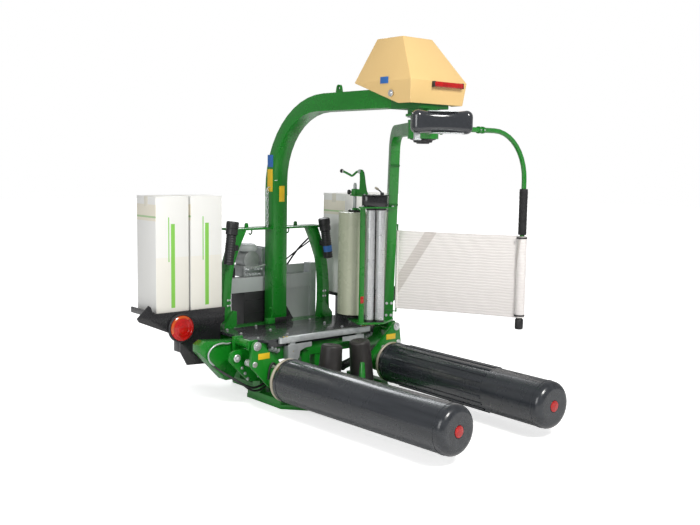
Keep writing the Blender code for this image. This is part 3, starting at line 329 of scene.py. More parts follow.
def build_cloth():
    """White guard cloth: a fine weave, slow ripples and one darker diagonal band of painted shadow."""
    material = finish("guard_cloth", (0.9, 0.865, 0.85), (0.87, 0.83, 0.815), (0.75, 0.9), "guard_cloth",
        patches=(3.0, 0.6), dust=0.0)
    tree = material.node_tree
    shader = tree.nodes["Principled BSDF"]
    shader.inputs["Sheen Weight"].default_value = 0.15
    place = add(tree, "TexCoord")
    ripple = add(tree, "TexWave", wave_type="RINGS", bands_direction="Y", Scale=9.0, Distortion=3.0, Detail=2.0)
    weave = add(tree, "TexWave", wave_type="BANDS", bands_direction="Z", Scale=160.0)
    both = add(tree, "Math", operation="MULTIPLY_ADD")
    both.inputs[1].default_value = 0.2
    relief = add(tree, "Bump", Strength=0.5, Distance=0.003)
    wire(tree, (place.outputs["UV"], ripple.inputs["Vector"]), (place.outputs["Object"],
        weave.inputs["Vector"]), (weave.outputs["Fac"], both.inputs[0]), (ripple.outputs["Fac"],
        both.inputs[2]), (both.outputs[0], relief.inputs["Height"]), (relief.outputs["Normal"],
        shader.inputs["Normal"]))
    board = shader.inputs["Base Color"].links[0].from_socket
    # the darker diagonal band mixed into the colour below is painted shadow across the sheet
    split, slope, band = add(tree, "SeparateXYZ"), add(tree, "Math", operation="MULTIPLY_ADD"), add(tree,
        "MapRange")
    slope.inputs[1].default_value = -0.4
    band.inputs["From Min"].default_value, band.inputs["From Max"].default_value = 0.055, 0.045
    middle = add(tree, "Math", operation="ADD")
    middle.inputs[1].default_value = 0.11
    off = add(tree, "Math", operation="ABSOLUTE")
    diagonal_band = add(tree, "Mix", data_type="RGBA")
    diagonal_band.inputs["B"].default_value = (0.6, 0.55, 0.52, 1)
    lines = add(tree, "Mix", data_type="RGBA")
    lines.inputs["B"].default_value = (0.76, 0.7, 0.68, 1)
    share, line_share = add(tree, "Math", operation="MULTIPLY"), add(tree, "Math", operation="MULTIPLY")
    share.inputs[1].default_value, line_share.inputs[1].default_value = 0.75, 0.22
    wire(tree, (place.outputs["UV"], split.inputs[0]), (split.outputs["Y"], slope.inputs[0]),
        (split.outputs["X"], slope.inputs[2]), (slope.outputs[0], middle.inputs[0]),
        (middle.outputs[0], off.inputs[0]), (off.outputs[0], band.inputs["Value"]), (band.outputs["Result"],
        share.inputs[0]), (share.outputs[0], diagonal_band.inputs["Factor"]), (board, diagonal_band.inputs["A"]),
        (ripple.outputs["Fac"], line_share.inputs[0]), (line_share.outputs[0], lines.inputs["Factor"]),
        (diagonal_band.outputs["Result"], lines.inputs["A"]), (lines.outputs["Result"], shader.inputs["Base Color"]))
    return material


cloth = build_cloth()


# ---------------------------------------------------------------- shaping tools
UPWARD, REARWARD, FORWARD = (0, 0, 1), (0, -1, 0), (0, 1, 0)
SIDES = ((-1, "left"), (1, "right"))



def calm():
    """Leave edit mode and let go of everything."""
    if bpy.context.mode != "OBJECT":
        bpy.ops.object.mode_set(mode="OBJECT")
    bpy.ops.object.select_all(action="DESELECT")


def hold(*pieces):
    """Select these pieces alone, the first one active."""
    calm()
    for piece in pieces:
        piece.select_set(True)
    bpy.context.view_layer.objects.active = pieces[0]


def edit_all():
    """Go into edit mode with the whole mesh selected."""
    bpy.ops.object.mode_set(mode="EDIT")
    bpy.ops.mesh.select_all(action="SELECT")


def bake_place(piece):
    """Put the piece's place into its mesh."""
    bpy.context.view_layer.update()
    piece.data.transform(piece.matrix_world)
    piece.matrix_world = Matrix.Identity(4)
    return piece


def block(low, high, edge=0.003, steps=2):
    """A block from corner to corner with its edges rounded over."""
    low, high = Vector(low), Vector(high)
    calm()
    bpy.ops.mesh.primitive_cube_add(size=1, location=(low + high) / 2, scale=high - low)
    piece = bake_place(bpy.context.object)
    edit_all()
    bpy.ops.mesh.bevel(offset=min(edge, min(high - low) * 0.4), segments=steps, affect="EDGES")
    calm()
    return piece


def grown(at, axis, steps, sides=24):
    """A round piece: a disc pulled along its axis; each step is a distance along it and a radius."""
    axis, at = Vector(axis).normalized(), Vector(at)
    last, wide = steps[0]
    calm()
    bpy.ops.mesh.primitive_circle_add(vertices=sides, radius=wide, fill_type="NGON", location=at + axis * last,
        rotation=axis.to_track_quat("Z", "Y").to_euler())
    piece = bake_place(bpy.context.object)
    edit_all()
    for distance, radius in steps[1:]:
        bpy.ops.mesh.extrude_region_move(TRANSFORM_OT_translate={"value": axis * (distance - last)})
        if radius != wide:
            bpy.ops.transform.resize(value=(radius / wide,) * 3, center_override=at + axis * distance)
        last, wide = distance, radius
    bpy.ops.mesh.select_all(action="SELECT")
    bpy.ops.mesh.normals_make_consistent(inside=False)
    calm()
    return piece


FACES = {"z": Matrix.Identity(3), "y": Matrix(((1, 0, 0), (0, 0, -1), (0, 1, 0))),
    "x": Matrix(((0, 0, 1), (1, 0, 0), (0, 1, 0)))}


def cut_plate(points, facing, low, high, edge=0.0015):
    """A plate cut to an outline, square to one axis, between two distances along it."""
    outline = bpy.data.curves.new("outline", "CURVE")
    outline.dimensions, outline.fill_mode, outline.extrude = "2D", "BOTH", abs(high - low) / 2
    spline = outline.splines.new("POLY")
    spline.points.add(len(points) - 1)
    for point, (a, b) in zip(spline.points, points):
        point.co = (a, b, 0.0, 1.0)
    spline.use_cyclic_u = True
    piece = bpy.data.objects.new("outline", outline)
    bpy.context.scene.collection.objects.link(piece)
    middle = (low + high) / 2
    lift = {"z": (0, 0, middle), "y": (0, middle, 0), "x": (middle, 0, 0)}[facing]
    piece.matrix_world = Matrix.Translation(lift) @ FACES[facing].to_4x4()
    hold(piece)
    bpy.ops.object.convert(target="MESH")
    piece = bake_place(bpy.context.object)
    edit_all()
    bpy.ops.mesh.remove_doubles(threshold=0.00005)
    bpy.ops.mesh.dissolve_limited(angle_limit=radians(1))
    bpy.ops.mesh.normals_make_consistent(inside=False)
    if edge:
        bpy.ops.mesh.bevel(offset=edge, segments=1, affect="EDGES", clamp_overlap=True)
    calm()
    return piece


def smooth_line(points, steps=6):
    """Points on one smooth curve through the given points."""
    points = [Vector(p) for p in points]
    ends = [points[0] * 2 - points[1]] + points + [points[-1] * 2 - points[-2]]
    line = []
    for a, b, c, d in zip(ends, ends[1:], ends[2:], ends[3:]):
        for i in range(steps):
            t = i / steps
            line.append(0.5 * (2 * b + (c - a) * t + (2 * a - 5 * b + 4 * c - d) * t ** 2
                + (3 * b - a - 3 * c + d) * t ** 3))
    return line + [points[-1]]


def drawn(name, points, radius, sides=3):
    """A round curve through points, with closed ends."""
    route = bpy.data.curves.new(name, "CURVE")
    route.dimensions, route.bevel_depth, route.bevel_resolution, route.use_fill_caps = "3D", radius, sides, True
    spline = route.splines.new("POLY")
    spline.points.add(len(points) - 1)
    for point, place in zip(spline.points, points):
        point.co = (*place, 1.0)
    piece = bpy.data.objects.new(name, route)
    bpy.context.scene.collection.objects.link(piece)
    return piece


def bent(points, radius, sides=3):
    """A bent bar or hose along points, closed at its ends, as a mesh."""
    hold(drawn("route", points, radius, sides))
    bpy.ops.object.convert(target="MESH")
    piece = bpy.context.object
    edit_all()
    bpy.ops.mesh.remove_doubles(threshold=0.00005)
    bpy.ops.mesh.normals_make_consistent(inside=False)
    calm()
    return piece


def joined(*pieces):
    """Make one piece of several."""
    hold(*pieces)
    if len(pieces) > 1:
        bpy.ops.object.join()
    return bpy.context.view_layer.objects.active


def repeated(pattern, places):
    """Copies of one shape, each with its own mesh, made one piece; the pattern itself is used up."""
    copies = []
    for place in places:
        twin = pattern.copy()
        twin.data = pattern.data.copy()
        twin.data.transform(place)
        bpy.context.scene.collection.objects.link(twin)
        copies.append(twin)
    bpy.data.objects.remove(pattern)
    return joined(*copies)


def aimed(at, axis):
    """A place whose own z looks along an axis."""
    return Matrix.Translation(at) @ Vector(axis).normalized().to_track_quat("Z", "Y").to_matrix().to_4x4()


def done(piece, name, material, body, angle=32, stands_for=()):
    """Name a finished piece, give it its finish, and fix it to the body that carries it."""
    hold(piece)
    bpy.ops.object.shade_smooth_by_angle(angle=radians(angle))
    piece.name = name
    piece.data.materials.clear()
    piece.data.materials.append(material)
    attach(piece, body)
    if stands_for:
        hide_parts(*stands_for)
    return piece


def eased(node, material, body, edge=0.003, angle=32, steps=2):
    """A copy of a structural part with its loose triangles merged and its edges eased."""
    source = nodes[node]
    piece = bpy.data.objects.new(node + "_eased", source.data.copy())
    bpy.context.scene.collection.objects.link(piece)
    hold(piece)
    bpy.ops.mesh.customdata_custom_splitnormals_clear()
    edit_all()
    bpy.ops.mesh.remove_doubles(threshold=0.0001)
    bpy.ops.mesh.dissolve_limited(angle_limit=radians(0.5))
    bpy.ops.mesh.normals_make_consistent(inside=False)
    calm()
    hold(piece)
    rounding = piece.modifiers.new("rounding", "BEVEL")
    rounding.width, rounding.segments, rounding.limit_method = edge, steps, "ANGLE"
    rounding.angle_limit, rounding.use_clamp_overlap = radians(angle), True
    bpy.ops.object.modifier_apply(modifier="rounding")
    return done(piece, node + "_eased", material, body, angle, (node,))


def bolts(name, material, body, spots, size=0.01):
    """Washers and hexagon heads on a body, at places that each face a way."""
    washer = grown((0, 0, 0), UPWARD, [(0.0, 0.95 * size), (0.08 * size, size), (0.22 * size, size)], 14)
    head = grown((0, 0, 0), UPWARD, [(0.1 * size, 0.7 * size), (0.7 * size, 0.7 * size),
        (0.82 * size, 0.58 * size)], 6)
    pattern = joined(washer, head)
    return done(repeated(pattern, [aimed(at, way) for at, way in spots]), name, material, body)


def sided(side, points):
    """The outline for one side: left is mirrored."""
    return [(side * a, b) for a, b in points]


# ---------------------------------------------------------------- structure
for node, look, edge in (("base_frame", green, 0.002), ("column_arch", green, 0.006), ("left_brace", green,
        0.004), ("right_brace", green, 0.004), ("top_crossbar", green, 0.002), ("head_gearbox", dark_green,
        0.004), ("left_box_carrier", black_paint, 0.003), ("right_box_carrier", black_paint, 0.003),
        ("hitch_frame", pale_grey, 0.004), ("hydraulic_housing", black, 0.008), ("deck_plate", deck_grey,
        0.006), ("bale_stop_bar", zinc, 0.003), ("valve_block", cast_grey, 0.006)):
    eased(node, look, "base", edge)
for node, look, edge in (("satellite_arm", green, 0.006), ("stretch_frame", green, 0.0015),
        ("safety_arm", green, 0.001), ("gear_cover", black_paint, 0.004)):
    eased(node, look, "satellite", edge)
for side in ("left", "right"):
    eased(side + "_swing_arm", green, side + "_arm", 0.002)
    for part, look in (("cylinder_barrel", black_paint), ("cylinder_rod", bright)):
        eased(f"{side}_{part}", look, side + "_" + part.split("_")[1], 0.0015)

# ---------------------------------------------------------------- rollers
REACH, WIDE, TOE = 1.497, 0.146, radians(1.9)
for sign, side in SIDES:
    hub = Vector((sign * 0.47, 0.16, 0.204))
    away = Vector((-sign * sin(TOE), -cos(TOE), 0.0))
    shell = [(0.03, WIDE - 0.01), (0.03, WIDE - 0.002), (0.034, WIDE)]
    shell += [(0.034 + 0.06 * i, WIDE) for i in range(1, 24)]
    shell += [(REACH - 0.045 + 0.045 * sin(radians(a)), WIDE - 0.045 + 0.045 * cos(radians(a)))
        for a in (0, 11, 22, 34, 45, 56, 68, 79, 88)]
    shell += [(REACH, 0.09), (REACH, 0.04), (REACH - 0.003, 0.036), (REACH - 0.003, 0.01)]
    done(grown(hub, away, shell, 72), side + "_roller_shell", roller_grey, side + "_roller", 30,
        (side + "_wrap_roller",))
    ring = grown(hub, away, [(-0.004, 0.055), (-0.004, WIDE - 0.012), (0.0, WIDE - 0.004), (0.004, WIDE),
        (0.016, WIDE), (0.02, WIDE - 0.004), (0.022, WIDE - 0.012), (0.026, WIDE - 0.012),
        (0.031, WIDE - 0.004), (0.031, WIDE - 0.02)], 72)
    done(ring, side + "_roller_end_ring", beige, side + "_roller", 30)
    dot = grown(hub, away, [(REACH - 0.004, 0.034), (REACH + 0.0005, 0.034), (REACH + 0.002, 0.03)], 32)
    done(dot, side + "_roller_red_cap", red, side + "_roller")
    cuffs = joined(*[grown(hub, away, [(at, WIDE + 0.0002), (at + 0.001, WIDE + 0.0022),
        (at + 0.009, WIDE + 0.0022), (at + 0.01, WIDE + 0.0002)], 72) for at in (0.052, REACH - 0.075)])
    done(cuffs, side + "_roller_cuffs", roller_grey, side + "_roller", 30)
    if side == "right":
        rib = block((-0.011, -0.001, 0.0), (0.011, 0.006, 0.86), 0.003)
        turns = [Matrix.Translation(hub + away * 0.16) @ away.to_track_quat("Z", "Y").to_matrix().to_4x4()
            @ Matrix.Rotation(radians(20 * i), 4, "Z") @ Matrix.Translation((0, WIDE - 0.001, 0))
            for i in range(18)]
        done(repeated(rib, turns), "right_roller_ribs", roller_grey, "right_roller")
    base = f"{side}_arm"
    face = [(hub + Vector((0.058 * cos(a), 0.118, 0.058 * sin(a))), (0, -1, 0)) for a in [radians(30 + 60 * i)
        for i in range(6)]]
    bolts(side + "_hub_bolts", zinc, base, [(at + Vector((0, 0.0265, 0)), (0, 1, 0)) for at, _ in face], 0.01)
    motor = joined(grown(hub + Vector((0, 0.14, 0)), (0, 1, 0), [(0, 0.052), (0.004, 0.056), (0.034, 0.056),
        (0.036, 0.048), (0.052, 0.048), (0.054, 0.054), (0.07, 0.054), (0.074, 0.05)], 28),
        block(hub + Vector((-0.03, 0.15, 0.03)), hub + Vector((0.03, 0.2, 0.07)), 0.004))
    done(motor, side + "_roller_motor", black_paint, base)
    boss = grown((sign * 0.63, 0.275, 0.43), REARWARD, [(0, 0.03), (0.006, 0.03), (0.008, 0.026),
        (0.009, 0.016), (0.014, 0.016), (0.015, 0.013)], 28)
    eye = grown((sign * 0.65, 0.275, 0.31), REARWARD, [(0, 0.019), (0.007, 0.019), (0.009, 0.016)], 24)
    done(joined(boss, eye), side + "_arm_pins", bright, base)

    lean = radians(6)
    up_way = Vector((-sign * sin(lean), 0, cos(lean)))
    steps = [(0.048, 0.07), (0.052, 0.08), (0.06, 0.084), (0.08, 0.0838), (0.2, 0.0805), (0.3, 0.077)]
    steps += [(0.392 + 0.02 * sin(radians(a)), 0.0535 + 0.02 * cos(radians(a))) for a in (0, 20, 40, 60, 80)]
    steps += [(0.4125, 0.046), (0.4125, 0.03), (0.41, 0.028), (0.41, 0.012), (0.414, 0.01)]
    done(grown((sign * 0.167, 0.115, 0), up_way, steps, 48), side + "_cone_shell", cone_grey, side + "_cone",
        35, (side + "_guide_cone",))

# ---------------------------------------------------------------- lamps, film cartons, document tubes
for sign, side in SIDES:
    at = Vector((sign * 0.909, 0.785, 0.508))
    rim = grown(at, REARWARD, [(0.0, 0.094), (0.004, 0.099), (0.018, 0.099), (0.022, 0.096), (0.024, 0.09),
        (0.016, 0.088), (0.016, 0.04)], 48)
    done(rim, side + "_lamp_rim", black, "base")
    glass = grown(at, REARWARD, [(0.014, 0.087), (0.028, 0.086), (0.032, 0.08), (0.034, 0.072), (0.032, 0.07),
        (0.036, 0.06), (0.038, 0.046), (0.036, 0.044), (0.039, 0.034), (0.04, 0.012)], 48)
    done(glass, side + "_lamp_lens", red, "base", 32, (side + "_tail_light",))
    amber_half = grown(at, REARWARD, [(0.0265, 0.0867), (0.0285, 0.0862), (0.0325, 0.0802), (0.0345, 0.0722),
        (0.0325, 0.0695)], 48)
    hold(amber_half)
    edit_all()
    bpy.ops.mesh.bisect(plane_co=at + Vector((-0.012, 0, 0.016)), plane_no=(-0.6, 0, 0.8), clear_inner=True,
        use_fill=True)
    done(amber_half, side + "_lamp_amber", amber, "base")

    for place in ("inner", "outer"):
        name = f"film_box_{side}_{place}"
        low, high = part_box(name)
        lid_gap = Vector((0, 0, 0.004))
        body = block(low, high - lid_gap, 0.004, 3)
        x0, x1, y0, y1, top = low.x, high.x, low.y, high.y, high.z
        middle = (y0 + y1) / 2
        flaps = [block((x0 + 0.002, y0 + 0.001, top - 0.0045), (x1 - 0.002, middle - 0.0015, top - 0.0008),
            0.0008), block((x0 + 0.002, middle + 0.0015, top - 0.0045), (x1 - 0.002, y1 - 0.001, top - 0.0008),
            0.0008)]
        done(joined(body, *flaps), name + "_board", carton, "base", 30, (name,))
        tape = joined(block((x0 + 0.002, middle - 0.025, top - 0.0012), (x1 - 0.002, middle + 0.025,
            top - 0.0003), 0.0003), block((x0 - 0.0006, middle - 0.025, top - 0.07),
            (x0 + 0.0006, middle + 0.025, top - 0.003), 0.0003),
            block((x1 - 0.0006, middle - 0.025, top - 0.07), (x1 + 0.0006, middle + 0.025, top - 0.003),
            0.0003))
        done(tape, name + "_tape", card, "base")

for sign, side, (top_x, low_x) in ((-1, "left", (0.44, 0.478)), (1, "right", (0.39, 0.44))):
    top, low = Vector((sign * top_x, 0.858, 1.215)), Vector((sign * low_x, 0.858, 0.905))
    along, length = (low - top).normalized(), (low - top).length
    steps = [(0.0, 0.036), (0.003, 0.041), (0.01, 0.043), (0.05, 0.043), (0.053, 0.04), (0.06, 0.04),
        (0.062, 0.043), (0.094, 0.043), (0.098, 0.038)]
    at = 0.102
    while at < length - 0.02:
        steps += [(at, 0.034), (at + 0.004, 0.0365), (at + 0.01, 0.0365), (at + 0.014, 0.034)]
        at += 0.018
    steps += [(length - 0.004, 0.035), (length - 0.001, 0.032)]
    tube = grown(top, along, steps, 32)
    finger = block((-0.0045, 0.0405, 0.006), (0.0045, 0.045, 0.048), 0.0015)
    grip = repeated(finger, [Matrix.Translation(top) @ along.to_track_quat("Z", "Y").to_matrix().to_4x4()
        @ Matrix.Rotation(radians(18 * i), 4, "Z") for i in range(20)])
    block_low = Vector((min(sign * 0.385, sign * 0.44), 0.864, 1.0))
    carrier = block(block_low, (max(sign * 0.385, sign * 0.44), 0.9047, 1.04), 0.003)
    done(joined(tube, grip, carrier), side + "_document_tube", black, "base", 32, (side + "_storage_tube",))
    if side == "left":
        continue
    sticker = grown(top, along, [(0.215, 0.0368), (0.215, 0.0374), (0.262, 0.0374), (0.262, 0.0368)], 40)
    hold(sticker)
    edit_all()
    bpy.ops.mesh.bisect(plane_co=top, plane_no=(0.35, 1, 0), clear_outer=True, use_fill=True)
    done(sticker, side + "_tube_label", blue, "base")

# ---------------------------------------------------------------- hood and its lamp bar
eased("hood", cream, "base", 0.045, 20, 6)
bar_low, bar_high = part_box("hood_light_bar")
lamp_bar = block(bar_low + Vector((0, 0.001, 0.001)), bar_high - Vector((0, 0, 0.001)), 0.007, 3)
done(lamp_bar, "hood_lamp_lens", red, "base", 32, ("hood_light_bar",))
caps = joined(block((bar_low.x - 0.003, bar_low.y + 0.002, bar_low.z), (bar_low.x + 0.012, bar_high.y,
    bar_high.z), 0.003), block((bar_high.x - 0.012, bar_low.y + 0.002, bar_low.z),
    (bar_high.x + 0.003, bar_high.y, bar_high.z), 0.003))
done(caps, "hood_lamp_ends", black, "base")
knob = joined(grown((-0.2405, -0.545, 2.06), (-1, 0, 0), [(0, 0.02), (0.003, 0.021), (0.005, 0.019)], 24),
    grown((-0.2435, -0.545, 2.06), (-1, 0, 0), [(0, 0.009), (0.005, 0.011), (0.008, 0.011), (0.009, 0.009)],
    18))
done(knob, "hood_latch", bright, "base")

# ---------------------------------------------------------------- satellite: weight, hub, safety arm, sheet
AXIS = Vector((0.0, -0.585, 0.0))
HEAD = Vector((sin(radians(32)), cos(radians(32)), 0.0))
SIDE = Vector((cos(radians(32)), -sin(radians(32)), 0.0))


def polar(radius, across, level):
    """A point at a radius along the arm's heading, so far to its right, at a height."""
    return AXIS + HEAD * radius + SIDE * across + Vector((0, 0, level))


ARM_FRAME = Matrix((SIDE, HEAD, Vector((0, 0, 1)))).transposed().to_4x4()
ARM_FRAME.translation = AXIS


def on_arm(piece):
    """Turn a piece made square to the axes (x across, y outwards) into the arm's own frame."""
    piece.data.transform(ARM_FRAME)
    return piece


weight = block((-0.175, -0.51, 1.812), (0.175, -0.4, 1.945), 0.036, 6)
hold(weight)
bpy.ops.object.mode_set(mode="EDIT")
for cut in range(-8, 9):
    bpy.ops.mesh.select_all(action="SELECT")
    bpy.ops.mesh.bisect(plane_co=(cut * 0.016, 0, 0), plane_no=(1, 0, 0))
bpy.ops.object.mode_set(mode="OBJECT")
for vertex in weight.data.vertices:
    spread = min(1.0, abs(vertex.co.x) / 0.14)
    vertex.co.z = 1.8785 + (vertex.co.z - 1.8785) * (0.84 + 0.16 * spread ** 2)
    if vertex.co.y < -0.455:
        vertex.co.y += 0.02 * (1 - spread ** 2)
done(on_arm(weight), "counterweight_casting", gloss_black, "satellite", 50, ("counterweight",))
trims = [block((-0.085, -0.5, 1.936), (0.085, -0.42, 1.94), 0.001), block((-0.06, -0.5, 1.815),
    (0.12, -0.425, 1.819), 0.001)]
done(on_arm(joined(*trims)), "counterweight_plates", zinc, "satellite")
shim = joined(block((-0.155, -0.47, 1.782), (-0.125, -0.43, 1.817), 0.002), block((-0.16, -0.475, 1.776),
    (-0.12, -0.425, 1.783), 0.001))
done(on_arm(shim), "counterweight_block", zinc, "satellite")
cheeks = []
for across in (-0.0435, 0.0335):
    cheeks.append(cut_plate([(-0.385, 1.822), (-0.3, 1.812), (-0.15, 1.836), (-0.12, 1.87), (-0.15, 1.9),
        (-0.385, 1.9)], "x", across, across + 0.01))
done(on_arm(joined(*cheeks)), "counterweight_cheeks", green, "satellite")
bolts("counterweight_bolts", zinc, "satellite", [(polar(-r, a, z), SIDE * s) for a, s in ((-0.0435, -1),
    (0.0435, 1)) for r, z in ((0.34, 1.85), (0.26, 1.85), (0.19, 1.858), (0.34, 1.885), (0.19, 1.885))], 0.011)
bolts("hub_flange_bolts", zinc, "satellite", [(AXIS + Vector((0.093 * cos(a), 0.093 * sin(a), 1.9305)),
    (0, 0, -1)) for a in [radians(15 + 30 * i) for i in range(12)]], 0.009)
cover = grown(AXIS + Vector((0, 0, 1.795)), (0, 0, -1), [(0, 0.08), (0.004, 0.08), (0.01, 0.06), (0.022, 0.056),
    (0.024, 0.04), (0.03, 0.038)], 32)
done(cover, "rotary_union_cover", black, "satellite")

# bolted joint halfway down the leg, and clips round it
leg = lambda z: 0.915 + 0.122 * (1.38 - z)
straps = [cut_plate([(-0.0345, z0), (0.0345, z0), (0.0345, z0 + 0.012), (-0.0345, z0 + 0.012)], "y",
    leg(z0) - 0.0425, leg(z0) + 0.0425) for z0 in (1.34, 1.62, 0.56)]
done(on_arm(joined(*straps)), "leg_bands", dark_green, "satellite")
bolts("leg_bolts", zinc, "satellite", [(polar(leg(z) - 0.0405, a, z), -HEAD) for z in (0.53, 0.62)
    for a in (-0.018, 0.018)] + [(polar(leg(z) + 0.004, -0.0335, z), -SIDE) for z in (0.53, 0.6, 1.345, 1.3)],
    0.01)

rod_foot, bar_foot = polar(leg(0.9) + 0.015, 0.057, 0.0), Vector((0.995, -0.585, 0.0))
run = (bar_foot - rod_foot).normalized()
out = Vector((-run.y, run.x, 0.0))
start, end = rod_foot - run * 0.004, bar_foot - run * 0.03
length = (end - start).length
calm()
bpy.ops.mesh.primitive_grid_add(x_subdivisions=90, y_subdivisions=60, size=1)
sheet = bpy.context.object
for vertex in sheet.data.vertices:
    a, b = vertex.co.x + 0.5, vertex.co.y + 0.5
    sag = 0.01 * sin(pi * a) * (1 - b) ** 2 * sin(pi * b * 0.9)
    ripple = 0.0011 * sin(46 * a + 5 * b + 3 * sin(7 * b)) * sin(pi * a) * (0.4 + 0.6 * b)
    diagonal_band = 0.006 * (1 - min(1.0, abs(a - 0.3 + 0.42 * (1 - b)) / 0.1)) if a < 0.5 else 0.0
    hem = 0.0035 * sin(pi * a)
    level = 0.578 + 0.579 * b - (hem if b > 0.5 else -hem) * abs(2 * b - 1)
    vertex.co = start + run * length * a + out * (ripple + max(diagonal_band, 0.0) * 0.5) + Vector((0, 0,
        level - sag * 0.2))
hold(sheet)
thick = sheet.modifiers.new("cloth_thickness", "SOLIDIFY")
thick.thickness, thick.offset = 0.0016, 0.0
bpy.ops.object.modifier_apply(modifier="cloth_thickness")
sheet = done(sheet, "guard_cloth_sheet", cloth, "satellite", 60, ("guard_sheet",))


def cloth_tube(name, at, radius, z0, z1, thickness=0.0016, sides=40, wave=0.0):
    """A sewn tube of cloth round an upright bar."""
    calm()
    bpy.ops.mesh.primitive_cylinder_add(vertices=sides, radius=radius, depth=z1 - z0, end_fill_type="NOTHING",
        location=(at.x, at.y, (z0 + z1) / 2))
    piece = bake_place(bpy.context.object)
    edit_all()
    bpy.ops.mesh.subdivide(number_cuts=10)
    bpy.ops.object.mode_set(mode="OBJECT")
    for vertex in piece.data.vertices:
        flat = Vector((vertex.co.x - at.x, vertex.co.y - at.y, 0))
        grow = 1 + wave * sin(60 * vertex.co.z + 3 * cos(40 * vertex.co.z))
        vertex.co = Vector((at.x, at.y, vertex.co.z)) + flat * grow
    hold(piece)
    wall = piece.modifiers.new("wall", "SOLIDIFY")
    wall.thickness, wall.offset = thickness, 0.0
    bpy.ops.object.modifier_apply(modifier="wall")
    return done(piece, name, cloth, "satellite", 60)


sleeve = cloth_tube("guard_cloth_sleeve", bar_foot, 0.034, 0.583, 1.152, wave=0.02)
rod_hem = cloth_tube("guard_cloth_hem", rod_foot, 0.0095, 0.58, 1.155, sides=16)
buckles = []
for level in (0.592, 1.136):
    buckles.append(grown(bar_foot, UPWARD, [(level, 0.0355), (level + 0.001, 0.037), (level + 0.011, 0.037),
        (level + 0.012, 0.0355)], 40))
    buckles.append(block(bar_foot + Vector((-0.045, -0.012, level + 0.001)), bar_foot
        + Vector((-0.034, 0.012, level + 0.012)), 0.002))
straps_piece = done(joined(*buckles), "guard_cloth_straps", black, "satellite")

foam = [(1.163, 0.02), (1.163, 0.026), (1.166, 0.0285)]
foam += [(1.17 + 0.0102 * i, 0.0288 + 0.0006 * sin(2.1 * i)) for i in range(1, 30)]
foam += [(1.477, 0.0282), (1.48, 0.026), (1.48, 0.02)]
done(grown(bar_foot, (0, 0, 1), foam, 36), "foam_sleeve", foam_black, "satellite", 50, ("foam_bar",))
cap = grown(bar_foot, UPWARD, [(0.501, 0.016), (0.5, 0.024), (0.504, 0.028), (0.512, 0.029), (0.566, 0.029),
    (0.57, 0.027), (0.578, 0.02)], 36)
done(cap, "safety_arm_cap", black, "satellite")
collars = [grown((x, -0.585, 1.867), (1, 0, 0), [(0, 0.0185), (0.001, 0.023), (0.016, 0.023), (0.017, 0.0185)],
    24) for x in (0.5, 0.536, 0.104)]
done(joined(*collars), "safety_arm_collars", green, "satellite")
bolts("safety_arm_bolts", zinc, "satellite", [((x + 0.0085, -0.585 - 0.022, 1.867), (0, -1, 0))
    for x in (0.5, 0.536)], 0.006)

# ---------------------------------------------------------------- film stretcher
roll_at = Vector((0.346, 0.445, 0.0))
wound = grown(roll_at, UPWARD, [(0.537, 0.04), (0.535, 0.112), (0.537, 0.1165), (0.545, 0.117), (0.7, 0.1168),
    (0.9, 0.1171), (1.1, 0.1168), (1.276, 0.117), (1.283, 0.1165), (1.285, 0.112), (1.283, 0.042),
    (1.283, 0.04), (1.285, 0.04), (1.285, 0.036), (1.27, 0.036)], 72)
done(wound, "film_roll_wound", film, "film_roll", 40, ("film_roll",))
for place, node in (((0.332, 0.251), "stretch_roller_slow"), ((0.389, 0.204), "stretch_roller_fast")):
    ribs, z = [(0.501, 0.01), (0.501, 0.014), (0.515, 0.014), (0.515, 0.0315)], 0.519
    while z < 1.3:
        ribs += [(z, 0.033), (z + 0.0085, 0.033), (z + 0.01, 0.03), (z + 0.0125, 0.03)]
        z += 0.014
    ribs += [(1.306, 0.0315), (1.306, 0.014), (1.3205, 0.014), (1.3205, 0.01)]
    done(grown((*place, 0.0), (0, 0, 1), ribs, 28), node + "_ribbed", bright, node, 25, (node,))
    bearing = grown((*place, 0.0), UPWARD, [(1.3075, 0.018), (1.3075, 0.034), (1.312, 0.036), (1.3215, 0.036)],
        28)
    lower = grown((*place, 0.0), UPWARD, [(0.4995, 0.036), (0.509, 0.034), (0.512, 0.018)], 28)
    done(joined(bearing, lower), node + "_bearings", black, "satellite")
low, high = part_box("gear_cover")
lid = cut_plate([(0.262, 0.235), (0.268, 0.2), (0.3, 0.16), (0.4, 0.152), (0.432, 0.168), (0.44, 0.205),
    (0.39, 0.29), (0.33, 0.312), (0.285, 0.3)], "z", high.z + 0.0005, high.z + 0.006)
done(lid, "gear_cover_lid", black_paint, "satellite")
lever = joined(bent(smooth_line([(0.4, 0.21, 1.418), (0.392, 0.214, 1.436), (0.376, 0.222, 1.452),
    (0.362, 0.23, 1.462)]), 0.005), grown((0.4, 0.21, high.z + 0.006), UPWARD, [(0, 0.013), (0.004, 0.014),
    (0.014, 0.012), (0.018, 0.009)], 20))
done(lever, "brake_lever", black, "satellite")
tip = grown((0.366, 0.2275, 1.46), (-0.8, 0.45, 0.55), [(-0.012, 0.006), (-0.008, 0.0085), (0.012, 0.009),
    (0.018, 0.006)], 16)
done(tip, "brake_lever_grip", beige, "satellite")
bolts("gear_cover_bolts", zinc, "satellite", [((x, y, high.z + 0.006), (0, 0, 1)) for x, y in ((0.28, 0.225),
    (0.3, 0.285), (0.425, 0.185), (0.33, 0.17), (0.35, 0.24))], 0.007)

